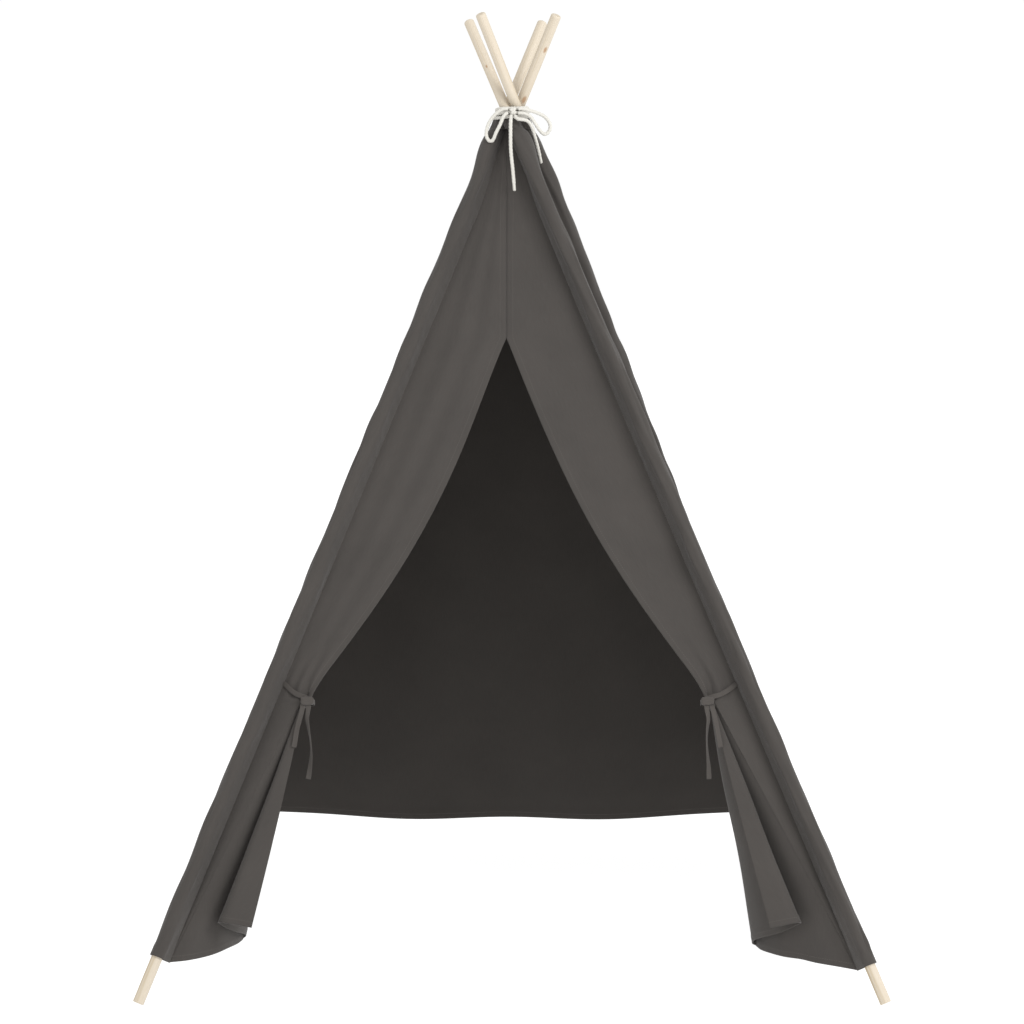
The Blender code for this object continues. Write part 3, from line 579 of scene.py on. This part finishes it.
# %% Cloth pieces
def cloth(name, surface, body, replaced, hemmed=False, wrap=False, keep=None,
          material=CANVAS, inside=None, thickness=CLOTH):
    """A cloth piece: its grid as a mesh, with Solidify for its thickness, and a thicker wall in its hem."""
    mesh = grid_mesh(name, surface, wrap, keep)
    thing = add(name, mesh, body, material, replaced)
    wall = thing.modifiers.new("wall", "SOLIDIFY")
    wall.thickness = thickness
    wall.offset = 0
    # The inner shell can take a second material. For the sides it is the darker canvas copy: painted shade for the
    # tent's shaded inside.
    if inside is not None:
        mesh.materials.append(inside)
        wall.material_offset = 1
    if hemmed:
        rows, columns = surface.shape[:2]
        group = thing.vertex_groups.new(name="hem")
        group.add(list(range((rows - HEM_ROWS) * columns, rows * columns)), 1.0, "REPLACE")
        wall.thickness = HEM_THICKNESS
        wall.vertex_group = "hem"
        wall.thickness_vertex_group = thickness / HEM_THICKNESS
    return thing


def flatten(thing):
    """Gives a piece of the cover its own copy of its mesh."""
    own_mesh(thing)


def rows_to_hem(top, stitch, end, count):
    """Even rows from the top to the hem's stitch line, and the last few from there to the end."""
    return np.concatenate([np.linspace(top, stitch, count), np.linspace(stitch, end, HEM_ROWS)[1:]])


# %% [markdown]
# Hems and seams are sewn with a lockstitch that shows as a row of short threads on both faces of the cloth.
# Each thread is a low arch. All the threads of one piece are rows of one long grid, with the quads between
# two threads left out.

# %% Sewn lines
STITCH_PITCH = 0.004
STITCH_LENGTH = 0.0028
STITCH_WIDTH = 0.0007
STITCH_ARCH = 0.0003
STITCH_SINK = 0.00005
STITCH_POINTS = 5
SEWN_COLUMN = 1


def normals_of(surface):
    """The directions square to a surface at its grid points: (down its columns) x (along its rows)."""
    return unit(np.cross(np.gradient(surface, axis=0), np.gradient(surface, axis=1)) + 1e-12)


def sewn(name, lines, body):
    """Threads along (line, normals, thickness) triples, each lifted by arch·(1 - 4u²)·(1 - 3.4v²)."""
    u = np.linspace(-0.5, 0.5, STITCH_POINTS)[None, :, None, None]
    v = np.array((-0.5, 0, 0.5))[None, None, :, None]
    arch = STITCH_ARCH * (1 - 4 * u**2) * (1 - 3.4 * v**2) - STITCH_SINK
    threads = []
    for line, normals, thickness in lines:
        spots = evenly(line, STITCH_PITCH)
        run, ends = run_of(line), run_of(spots)
        at = (ends[1:] + ends[:-1]) / 2 * run[-1] / ends[-1]
        middle, out = (sampled(rows, run, at)[:, None, None] for rows in (line, normals))
        along = unit(np.diff(spots, axis=0))[:, None, None]
        out = unit(out - along * (out * along).sum(axis=-1, keepdims=True))
        aside = np.cross(out, along)
        for face in (-1, 1):
            flat = middle + along * u * STITCH_LENGTH + aside * v * STITCH_WIDTH * face
            threads.append(flat + out * face * (thickness / 2 + arch))
    grid = np.concatenate(threads).reshape(-1, 3, 3)
    keep = np.ones((len(grid) - 1, 2), bool)
    keep[STITCH_POINTS - 1::STITCH_POINTS] = False
    flatten(add(name, grid_mesh(name, grid, keep=keep), body, THREAD))


# %% [markdown]
# ## The pole channels
# Seen along the pole, a channel is a drop: a wide arc round the pole, two nearly flat sides, and a tight
# fold where it is sewn. The cloth is a little loose, so its outer side bulges here and there.

# %% Pole channels
SLEEVE_ROWS = 240
SLEEVE_AROUND = 44
SLEEVE_LOOSE = 0.0022
SLEEVE_PUCKER = 0.0006
PUCKERS_PER_METRE = 42
TOP_BULGE = dict(zip(CORNERS, (0.008, 0.008, 0.004, 0.007)))
TOP_BULGE_FALL = 0.03
SLACK = dict(zip(CORNERS, (0.0, 0.0015, 0.0085, 0.001)))
SLEEVE_HEM = dict(zip(CORNERS, (0.0705, 0.059, 0.064, 0.064)))


def sleeve_surface(corner, height, around):
    """The drop: arc centre and radius slide from the pole's (radius R) to the seam's (radius r) as the
    outward direction turns past the angle acos((R - r) / L)."""
    place, inward, length = seam_of(corner, height)
    axis = place - inward * length[:, None]
    side = np.cross(ALONG[corner], inward)
    edge = np.arccos((CHANNEL_RADIUS - TAIL_RADIUS) / length)[:, None]
    back = np.interp(around, [0, 0.32, 0.68, 1], [-1, 0, 0, 1])
    tail = np.interp(around, [0, 0.46, 0.54, 1], [-1, -1, 1, 1])
    to_tail = np.interp(around, [0, 0.32, 0.46, 0.54, 0.68, 1], [0, 0, 1, 1, 0, 0])
    phi = edge * tail + (pi - edge) * back
    radius = mix(CHANNEL_RADIUS, TAIL_RADIUS, to_tail)
    fall = fall_of(height)
    seed = CORNERS.index(corner) + 11
    loose = np.clip(uneven(around * 0.8, fall * 2.0, seed, 3, 9) + 0.25, 0, None)
    ends = ease(fall / 0.02) * ease((1 - fall) / 0.02)
    away_from_tail = ease(1.2 * (1 - to_tail))
    radius = radius + SLEEVE_LOOSE * loose * ends * away_from_tail
    bulge = TOP_BULGE[corner] * np.exp(-(((fall - TOP_BULGE_FALL) / TOP_BULGE_FALL) ** 2)) * ease(fall / 0.02)
    slack = SLACK[corner] * ease(fall / 0.09) * (1 - ease((fall - 0.5) / 0.25))
    outer = np.clip(0.35 - np.cos(phi), 0, 1)
    radius = radius + (bulge + slack) * outer * away_from_tail
    pucker = np.sin(tau * PUCKERS_PER_METRE * fall * (COVER_TOP - CHANNEL_HEM))
    radius = radius + SLEEVE_PUCKER * pucker * to_tail * (1 - to_tail) * 4 * ends
    along_in = to_tail * length[:, None] + radius * np.cos(phi)
    aside = radius * np.sin(phi)
    return axis[:, None] + inward[:, None] * along_in[..., None] + side[:, None] * aside[..., None]


around = np.arange(SLEEVE_AROUND) / SLEEVE_AROUND
for corner in CORNERS:
    heights = rows_to_hem(COVER_TOP, SLEEVE_HEM[corner] + HEM_WIDTH, SLEEVE_HEM[corner], SLEEVE_ROWS)
    surface = sleeve_surface(corner, heights, around)
    solid = f"{corner}_pole_sleeve"
    piece = cloth(f"{corner}_channel", surface, f"{corner}_pole", solid, hemmed=True, wrap=True)

# %% [markdown]
# ## The three plain sides
# A side is a trapezium between two seam lines. Its cloth bows in a little, dips between the poles at the
# hem, and has long soft folds where the weight pulls from the crossing to the corners.

# %% Plain sides
SIDE_ROWS = 150
SIDE_COLUMNS = 96
SIDE_SAG = 0.014
SAG_SHARE = 0.85
HEM_DROP = 0.017
HEM_RIPPLE = 0.006
RIPPLES = 2.5
PULL_FOLD = 0.0062
SOFT_FOLD = 0.0034
SEAM_PUCKER = 0.0007


def side_surface(left, right, height, share, seed):
    """a + (b - a)·share between the seams, moved out by a sag, a hem ripple, pull folds and soft folds."""
    a, b = side_seams(left, right, height)
    _, down, out = side_frame(left, right)
    fall = fall_of(height, SIDE_HEM)
    bulge = hump(share)
    sag = -SIDE_SAG * bulge * hump(fall * SAG_SHARE)
    ripple = HEM_RIPPLE * bulge * fall**2 * np.sin(tau * RIPPLES * share)
    pull = PULL_FOLD * fall * (1 - fall) * 4 * bulge * uneven(share, fall * 0.25, seed, 2.0, 5.0, 5)
    soft = SOFT_FOLD * ease(fall / 0.2) * bulge * uneven(share, fall, seed + 1, 1.5, 4.5)
    beside = np.minimum(share, 1 - share) * np.linalg.norm(b - a, axis=1)[:, None]
    pucker = SEAM_PUCKER * np.exp(-((beside - 0.006) / 0.005) ** 2)
    pucker = pucker * np.sin(tau * PUCKERS_PER_METRE * fall * 1.4)
    drop = HEM_DROP * (1 - (2 * share - 1) ** 2) * fall**3
    points = a[:, None] + (b - a)[:, None] * share[..., None]
    return points + out * (sag + ripple + pull + soft + pucker)[..., None] + down * drop[..., None]


heights = rows_to_hem(COVER_TOP, SIDE_HEM + HEM_WIDTH, SIDE_HEM, SIDE_ROWS)
share = np.linspace(0, 1, SIDE_COLUMNS + 1)[None, :]
for number, name in enumerate(("right", "back", "left")):
    left, right = CORNERS[number + 1], CORNERS[(number + 2) % 4]
    surface = side_surface(left, right, heights, share, 31 + 7 * number)
    # The inner face of each side gets the darker canvas copy: painted shade.
    piece = cloth(f"{name}_side", surface, f"{name}_cover", f"{name}_panel", hemmed=True, inside=PAINTED_SHADE_CANVAS)
    flatten(piece)
    normals = normals_of(surface)
    lines = [(surface[SIDE_ROWS], normals[SIDE_ROWS], HEM_THICKNESS)]
    for column in (SEWN_COLUMN, SIDE_COLUMNS - SEWN_COLUMN):
        lines.append((surface[:SIDE_ROWS, column], normals[:SIDE_ROWS, column], CLOTH))
    sewn(f"{name}_stitches", lines, f"{name}_cover")

# %% [markdown]
# ## The doorway
# The front is two halves, sewn together at the top and slit below. Each flap is drawn aside by a tie at
# about a third of the height: its free edge runs in a slow curve from the slit to the tie, and the cloth
# gathers into pleats that fan up from it. Below the tie the loose skirt opens again and turns back on
# itself beside the doorway.

# %% Doorway sizes
SLIT_TOP = CROSSING_HEIGHT * 0.7243
TIE_HEIGHT = CROSSING_HEIGHT * 0.3127
EDGE_BOW = 0.039
GATHER_LENGTH = 0.075
GATHER_POWER = 3
GATHER_WIDTH = 0.017
GATHER_DEPTH = 0.016
GATHER_POINTS = 200
WEB_SHARE = 0.55  # of a flap's width that stays between the channel and the gather
HEM_REACH = 0.13
FLAP_ROWS = 240
ROW_CROWDING = 1.3  # rows crowd towards the tie
WEB_ROWS = 90
WEB_COLUMNS = 40
GATHER_COLUMNS = 64
EDGE_HEM_COLUMNS = 5
EDGE_HEM_WIDTH = 0.011
SLIT_ASIDE = 0.0034  # the middle seam stands this far left of the middle
SLIT_SINK = 0.0016  # of the middle seam, within SINK_REACH of it
SINK_REACH = 0.004
FLAP_FOLD = 0.003
WEB_BELLY = 0.0016
RIDGES = 3
RIDGE_DEPTH = 0.0028
RIDGE_LENGTH = 0.11
UNSEWN_ROWS = 8  # just above the tie
# A skirt's hem from the corner: (towards the doorway, back, up) in shares of HEM_REACH
LEFT_HEM = (
    (0.22, 0.1, 0.05), (0.42, 0.26, 0.05), (0.56, 0.4, 0.06), (0.69, 0.62, 0.07), (0.77, 0.84, 0.06),
    (0.816, 1, 0.065), (0.864, 0.98, 0.12), (0.871, 0.8, 0.19), (0.82, 0.58, 0.27), (0.74, 0.42, 0.35),
    (0.67, 0.29, 0.43), (0.62, 0.18, 0.51), (0.69, 0.085, 0.53), (0.84, 0.07, 0.51), (1.04, 0.075, 0.47),
)
RIGHT_HEM = (
    (0.24, 0.1, -0.02), (0.47, 0.26, -0.02), (0.635, 0.38, -0.01), (0.83, 0.53, -0.02), (0.98, 0.73, -0.03),
    (1.08, 0.92, -0.04), (1.125, 1.05, -0.03), (1.18, 1.02, 0.01), (1.187, 0.84, 0.1), (1.1, 0.62, 0.2),
    (0.98, 0.45, 0.28), (0.84, 0.3, 0.38), (0.68, 0.18, 0.5), (0.75, 0.085, 0.53), (0.92, 0.07, 0.5),
    (1.07, 0.075, 0.47),
)
FLAPS = {
    "front_left": {"hand": -1, "edge_from_seam": 0.0454, "tie_from_seam": 0.0514, "bow_power": 1.15,
                   "belly": 0.002, "hem": LEFT_HEM},
    "front_right": {"hand": 1, "edge_from_seam": 0.0514, "tie_from_seam": 0.0604, "bow_power": 1.08,
                    "belly": 0.001, "hem": RIGHT_HEM},
}
ACROSS, DOWN, OUT = side_frame("front_left", "front_right")


def axis_height_of(height):
    """The axis height of the row whose seam has this height."""
    place, _, _ = seam_of("front_left", np.array([height]))
    return height + height - float(place[0, 2])


def door_seams(flap, height):
    """The seam beside a flap, and the one across the doorway."""
    seams = side_seams("front_left", "front_right", height)
    return seams if flap["hand"] < 0 else seams[::-1]


def slit_edge(flap, level):
    """How far the slit has opened, from 0 to 1 at the tie, and how far its edge stands from the middle."""
    opened = np.clip((SLIT_TOP - level) / (SLIT_TOP - TIE_HEIGHT), 0, 1)
    return opened, flap["edge"] * opened - EDGE_BOW * hump(opened ** flap["bow_power"])


for name, flap in FLAPS.items():
    hand = flap["hand"]
    (own,), (other,) = door_seams(flap, np.array([axis_height_of(TIE_HEIGHT)]))
    half_width = np.linalg.norm(other - own) / 2
    flap["edge"] = half_width - flap["edge_from_seam"]
    flap["tie"] = (own + other) / 2 + ACROSS * hand * (half_width - flap["tie_from_seam"])
    (flap["corner"], end), _ = door_seams(flap, np.array([CHANNEL_HEM, SLEEVE_HEM[name]]))
    points = flap["corner"] + np.array(((0, 0, 0), *flap["hem"])) * HEM_REACH * (-hand, 1, 1)
    points[0] = end
    middle = (points.min(axis=0) + points.max(axis=0)) / 2
    off = (points - middle) / np.ptp(points, axis=0)
    flap["hem_points"] = points
    flap["bundle"] = flap["tie"] + ACROSS * off[:, :1] * GATHER_WIDTH - OUT * off[:, 1:2] * GATHER_DEPTH
    print(name, "tie at", np.round(flap["tie"], 3), "corner at", np.round(flap["corner"], 3))

# %% The flaps
def flap_surface(flap, height, share):
    """Above the tie: seam + (edge - seam)·share, eased into the gather's own curve as it nears the tie."""
    seam, other = door_seams(flap, height)
    level = seam[:, 2]
    opened, aside = slit_edge(flap, level)
    edge = (seam + other) / 2 - unit(other - seam) * aside[:, None]
    edge = edge - ACROSS * (SLIT_ASIDE * (1 - ease(opened / 0.4)))[:, None]
    gather = ease((TIE_HEIGHT + GATHER_LENGTH - level) / GATHER_LENGTH) ** GATHER_POWER
    bundle = spline(flap["bundle"], GATHER_POINTS)
    into = np.clip((share - WEB_SHARE) / (1 - WEB_SHARE), 0, 1)
    gathered = sampled(bundle, np.linspace(0, 1, GATHER_POINTS), into)
    web = seam[:, None] + (bundle[0] - seam)[:, None] * np.clip(share / WEB_SHARE, 0, 1)[..., None]
    gathered = np.where((share < WEB_SHARE)[..., None], web, gathered)
    flat = seam[:, None] + (edge - seam)[:, None] * share[..., None]
    width = np.linalg.norm(edge - seam, axis=1)[:, None]
    near = ease(1 - (level - TIE_HEIGHT) / RIDGE_LENGTH)[:, None]
    ridge = RIDGE_DEPTH * near * (1 - gather[:, None] ** 2) * np.sin(tau * RIDGES * share**1.2)
    ridge = ridge * hump(np.clip(share / 0.9 - 0.1, 0, 1)) ** 0.7
    fall = fall_of(height)
    soft = FLAP_FOLD * ease(fall / 0.25) * hump(share) * (1 - gather[:, None])
    soft = soft * uneven(share, fall, 60 + flap["hand"], 1.0, 3.0)
    sink = -SLIT_SINK * np.exp(-((1 - share) * width / SINK_REACH) ** 2) * (opened[:, None] <= 0)
    points = flat + (gathered - flat) * gather[:, None, None]
    return points + OUT * (ridge + soft + sink)[..., None]


def web_surface(flap, low, down_share, share):
    """Below the tie: from the seam to the line that the skirt swings on, with a slight belly between them."""
    seam, _ = door_seams(flap, mix(axis_height_of(TIE_HEIGHT), low, down_share))
    line = mix(flap["bundle"][0], flap["hem_points"][0], down_share[:, None])
    across = np.clip(share / WEB_SHARE, 0, 1)
    points = seam[:, None] + (line - seam)[:, None] * across[..., None]
    belly = WEB_BELLY * hump(across) * hump(down_share)[:, None] ** 0.5
    return points + OUT * belly[..., None]


def flap_shares(flap, height):
    """Each row's column shares: the part beside the channel, the part that gathers, and the edge's hem."""
    own, other = door_seams(flap, height)
    reach = np.linalg.norm(other - own, axis=1) / 2 - slit_edge(flap, own[:, 2])[1]
    hem_share = np.clip(EDGE_HEM_WIDTH / np.maximum(reach, 0.02), 0, 0.25)[:, None]
    web = np.tile(np.linspace(0, WEB_SHARE, WEB_COLUMNS)[:-1], (len(height), 1))
    main = WEB_SHARE + np.linspace(0, 1, GATHER_COLUMNS)[None, :] * (1 - hem_share - WEB_SHARE)
    last = 1 - hem_share * (1 - np.linspace(0, 1, EDGE_HEM_COLUMNS)[None, 1:])
    return np.concatenate([web, main, last], axis=1)


for name, flap in FLAPS.items():
    crowded = 1 - (1 - np.linspace(0, 1, FLAP_ROWS)) ** ROW_CROWDING
    height = mix(COVER_TOP, axis_height_of(TIE_HEIGHT), crowded)
    share = flap_shares(flap, height)
    lower = web_surface(flap, SLEEVE_HEM[name], np.linspace(0, 1, WEB_ROWS + 1)[1:], share[-1:])
    surface = np.concatenate([flap_surface(flap, height, share), lower])
    keep = np.ones(np.subtract(surface.shape[:2], 1), bool)
    keep[FLAP_ROWS - 1:, WEB_COLUMNS - 1:] = False
    piece = cloth(f"{name}_flap_cloth", surface, "front_cover", f"{name}_flap", keep=keep)
    flatten(piece)
    rows, normals = slice(FLAP_ROWS - UNSEWN_ROWS), normals_of(surface)
    columns = (SEWN_COLUMN, surface.shape[1] - EDGE_HEM_COLUMNS)
    lines = [(surface[rows, column], normals[rows, column], CLOTH) for column in columns]
    sewn(f"{name}_flap_stitches", lines, "front_cover")

# %% The skirts
SKIRT_ROWS = 100
SKIRT_COLUMNS = 110
SKIRT_FOLD = 0.0025
WAIST_SHARE = 0.03  # how far below the tie the gathered cloth is narrowest
WAIST_WIDTH = 0.45  # of the gather's width
WAIST_ASIDE = 0.0065  # towards the channel
SKIRT_TOP, SKIRT_STITCH = 0.004, 0.972


def skirt_surface(flap, down_share, share):
    """From the gather's curve to the hem's: top + (hem - top)·share, with soft folds half way."""
    count = share.shape[1]
    top = spline(flap["bundle"], count)
    low = spline(flap["hem_points"], count)
    off = (top - flap["tie"]) @ ACROSS
    waist = top + ACROSS * (WAIST_ASIDE * flap["hand"] - (1 - WAIST_WIDTH) * off)[:, None]
    down = down_share[:, None, None]
    points = waist + (low - waist) * down + (top - waist) * (1 - ease(down / WAIST_SHARE))
    along = unit(np.gradient(low, axis=0))
    aside = unit(np.cross(along, Z_AXIS))
    soft = uneven(share, down_share[:, None] * 0.4, 80 + flap["hand"], 2.0, 5.0)
    ends = hump(share) ** 0.5
    middle = hump(down_share)[:, None]
    belly = flap["belly"] * middle * ease((share - 0.8) / 0.2)
    points = points + aside * (SKIRT_FOLD * soft * ends * middle**0.7)[..., None]
    return points - X_AXIS * flap["hand"] * belly[..., None]


for name, flap in FLAPS.items():
    down_share = rows_to_hem(SKIRT_TOP, SKIRT_STITCH, 1, SKIRT_ROWS)
    surface = skirt_surface(flap, down_share, np.linspace(0, 1, SKIRT_COLUMNS)[None, :])
    piece = cloth(f"{name}_skirt_cloth", surface, f"{name}_door_skirt", f"{name}_skirt", hemmed=True)
    flatten(piece)
    hem_line = (surface[SKIRT_ROWS], normals_of(surface)[SKIRT_ROWS], HEM_THICKNESS)
    sewn(f"{name}_skirt_stitches", [hem_line], f"{name}_door_skirt")

# %% [markdown]
# ## The ties
# Each tie is a narrow cotton tape, sewn to the channel's seam outside and inside. It goes round the
# gathered cloth, is knotted in front, and its two ends hang down and twist a little.

# %% Ties
TIE_WIDTH = 0.008
TIE_THICKNESS = 0.0008
TIE_SEWN_ABOVE = 0.030
KNOT_SIZE = (0.0215, 0.0085, 0.0150)
KNOT_ASIDE = 0.0025  # towards the doorway
KNOT_BELOW = 0.0012
FRONT_KNOT_DEPTH = 0.006
TAIL_DEPTH = 0.003  # in front of the band, where the ends come out of the knot
TAPE_COLUMNS = 9
LEFT_TIE_TAILS_MM = (
    ((-4.5, 2.2, -6.1), (-5.5, 7, -14), (-9, 13, -28), (-13, 18, -44), (-16, 23, -62), (-18, 26, -73)),
    ((4.5, 2.2, -6.1), (4.5, 7, -14), (3, 12, -28), (6, 16, -46), (9, 19, -66), (10, 21, -86), (8, 23, -106),
     (5, 24, -126)),
)
RIGHT_TIE_TAILS_MM = (
    ((-4.5, 2.2, -6.1), (-5.5, 7, -14), (-9, 13, -28), (-12, 18, -44), (-15, 23, -60), (-17, 26, -73)),
    ((4.5, 2.2, -6.1), (4, 7, -14), (2, 12, -28), (4, 16, -44), (5, 19, -62), (4, 21, -82), (2, 23, -104),
     (1, 24, -126)),
)
TAIL_TWISTS = (0.25, 1.2)
TAPE_CURL = 0.06
TAPE_STEP, TAIL_STEP = 0.0015, 0.002
BAND_LIFT = 0.001  # of its sewn end off the seam
BAND_SWELL, BAND_SLACK = 0.002, 0.0045  # half way from the seam to the bundle: out and down
BAND_ENTRY = 0.005  # above the tie's middle, where it meets the bundle
KNOT_SQUARENESS = 0.55


def tape(path, across, twist):
    """A flat tape: width·(share - 1/2) along a direction that twists about the path, with a shallow curl."""
    tangent = unit(np.gradient(path, axis=0))
    across = unit(across - tangent * (tangent @ across)[:, None])
    over = np.cross(tangent, across)
    cos, sin = np.cos(twist)[:, None], np.sin(twist)[:, None]
    turned, normal = across * cos + over * sin, over * cos - across * sin
    share = np.linspace(-0.5, 0.5, TAPE_COLUMNS)[None, :, None]
    curl = TAPE_CURL * TIE_WIDTH * (4 * share**2 - 1)
    return path[:, None] + turned[:, None] * share * TIE_WIDTH + normal[:, None] * curl


def lump(middle, directions):
    """A knot: an ellipsoid squared off a little, with shallow creases where the tape crosses itself."""
    u = np.linspace(0.02, 0.98, 28)[:, None] * pi
    v = np.linspace(0, tau, 41)[None, :-1]
    cos_u, sin_u, cos_v, sin_v = (
        np.sign(wave) * np.abs(wave) ** KNOT_SQUARENESS for wave in (np.cos(u), np.sin(u), np.cos(v), np.sin(v))
    )
    x, y, z = cos_u * np.ones_like(v), sin_u * cos_v, sin_u * sin_v
    crease = 1 - 0.12 * np.exp(-((x + 0.6 * z) / 0.16) ** 2) - 0.07 * np.cos(2 * v) ** 8
    points = np.stack([x, y * crease, z * crease], axis=-1) * (np.array(KNOT_SIZE) / 2)
    surface = middle + points @ np.array(directions)
    return grid_mesh("knot", surface, wrap=True, caps=True)


for (name, flap), tails in zip(FLAPS.items(), (LEFT_TIE_TAILS_MM, RIGHT_TIE_TAILS_MM)):
    hand = flap["hand"]
    doorway = ACROSS * -hand
    stand = CLOTH / 2 + TIE_THICKNESS / 2 + GAP
    off = flap["bundle"] - flap["tie"]
    reach = np.hypot(off @ doorway / GATHER_WIDTH, off @ OUT / GATHER_DEPTH).max()
    half_wide = GATHER_WIDTH * reach + stand
    half_deep = GATHER_DEPTH * reach + stand
    axis_heights = np.array([axis_height_of(TIE_HEIGHT), axis_height_of(TIE_HEIGHT + TIE_SEWN_ABOVE)])
    (inside, outside), _ = door_seams(flap, axis_heights)
    between = (inside + flap["bundle"][0]) / 2
    angle = pi * (0.5 - np.linspace(0, 1, 13))[:, None]
    ring = flap["tie"] + doorway * half_wide * np.cos(angle) + OUT * half_deep * np.sin(angle)
    entry = ring[0] - DOWN * BAND_ENTRY
    path = np.vstack([
        outside + OUT * (stand + BAND_LIFT),
        (outside + entry) / 2 + OUT * BAND_SWELL + DOWN * BAND_SLACK,
        entry,
        ring[1:],
        between - OUT * (stand + BAND_SWELL),
        inside - OUT * stand,
    ])
    path = evenly(spline(path, 160), TAPE_STEP)
    surface = tape(path, DOWN, np.zeros(len(path)))
    flatten(cloth(f"{name}_tie_tape", surface, "front_cover", f"{name}_tie_band",
                  material=TAPE, thickness=TIE_THICKNESS))
    front = flap["tie"] + OUT * (half_deep + TIE_THICKNESS / 2 + GAP)
    knot_at = front + OUT * FRONT_KNOT_DEPTH / 2 + doorway * KNOT_ASIDE - Z_AXIS * KNOT_BELOW
    mesh = lump(knot_at, (ACROSS, OUT, -DOWN))
    flatten(add(f"{name}_tie_knot_lump", mesh, "front_cover", TAPE, f"{name}_tie_knot"))
    for number, (route, turn) in enumerate(zip(tails, TAIL_TWISTS), 1):
        steps = np.array(route) * MM
        centre = front + OUT * TAIL_DEPTH
        points = centre + np.stack([-hand * steps[:, 0], -steps[:, 1], steps[:, 2]], axis=1)
        path = evenly(spline(points, 100), TAIL_STEP)
        twist = turn * hump(np.linspace(0, 1, len(path))) * -hand
        tail = cloth(f"{name}_tie_end_{number}", tape(path, X_AXIS, twist), "front_cover",
                     f"{name}_tie_tail_{number}", material=TAPE, thickness=TIE_THICKNESS)
        flatten(tail)
        print(tail.name, "is", round(length_of(path), 3), "m long")

# %% [markdown]
# ## The gathered top
# The cover's top edge is drawn together under the cord. It follows the outline round the poles, with
# small pleats, and spreads over the tops of the channels just below.

# %% Top collar
COLLAR_ROWS = 30
COLLAR_AROUND = 200
COLLAR_TOP = CROSSING_HEIGHT + 0.0035
COLLAR_LOW = CROSSING_HEIGHT - 0.034
COLLAR_STRAIGHT = 0.013  # the part under the cord
COLLAR_FLARE = 0.0034
FLARE_LENGTH = 0.012
WRAP_ANGLE = 1.25  # how far the edge turns in between two channels
COLLAR_PLEATS = 22
PLEAT_DEPTH = 0.0005


def collar_surface(height, quarter, share):
    """The outline round the poles. Lower down each arc turns on past its ends, into the valley beside it."""
    flare = ease((COLLAR_TOP - COLLAR_STRAIGHT - height) / FLARE_LENGTH)
    pleat = PLEAT_DEPTH * np.sin(tau * COLLAR_PLEATS * (quarter + share) / 4)
    margin = COLLAR_PLAY + COLLAR_WALL / 2 + (COLLAR_FLARE + pleat) * flare
    return outline(height, quarter, share, margin, WRAP_ANGLE * flare)


level = np.linspace(COLLAR_TOP, COLLAR_LOW, COLLAR_ROWS)[:, None]
quarter = np.repeat(np.arange(4), COLLAR_AROUND // 4)
turn_share = np.tile(np.linspace(0, 1, COLLAR_AROUND // 4), 4)
surface = collar_surface(level, quarter, turn_share)
piece = cloth("gathered_top", surface, "lashing", "top_collar", wrap=True, thickness=COLLAR_WALL)

# %% [markdown]
# ## Floor and light
# A white floor, an even white surround and two large soft lights in front, as in a product studio. The
# floor glows a little, as a lit white sweep does, so no horizon shows and the tent's inside gets light
# from below.

# %% Floor, world and lights
FLOOR_HALF = 30.0
FLOOR_GLOW = 0.97
floor_corners = [(x * FLOOR_HALF, y * FLOOR_HALF, 0) for x, y in ((-1, -1), (1, -1), (1, 1), (-1, 1))]
floor_mesh = bpy.data.meshes.new("floor")
floor_mesh.from_pydata(floor_corners, [], [(0, 1, 2, 3)])
floor = bpy.data.objects.new("floor", floor_mesh)
scene.collection.objects.link(floor)
glow = {"Base Color": (0.25, 0.25, 0.25, 1), "Roughness": 0.9, "Specular IOR Level": 0.0,
        "Emission Color": (1, 1, 1, 1), "Emission Strength": FLOOR_GLOW}
pale, _ = new_material("pale_floor", glow)
floor_mesh.materials.append(pale)

world = bpy.data.worlds.new("studio")
world.use_nodes = True
surround = world.node_tree.nodes["Background"].inputs
surround["Color"].default_value = (1, 1, 1, 1)
surround["Strength"].default_value = 1.01
scene.world = world
scene.view_settings.view_transform = "Standard"

for name, place, size, power in (
    ("key", (2.2, -2.6, 2.4), 1.6, 64),
    ("fill", (-2.2, -3.4, 2.6), 3.0, 4),
):
    light = bpy.data.lights.new(name, "AREA")
    light.size = size
    light.energy = power
    lamp = bpy.data.objects.new(name, light)
    lamp.location = place
    lamp.rotation_euler = (Vector((0, 0, 0.7)) - Vector(place)).to_track_quat("-Z", "Y").to_euler()
    scene.collection.objects.link(lamp)
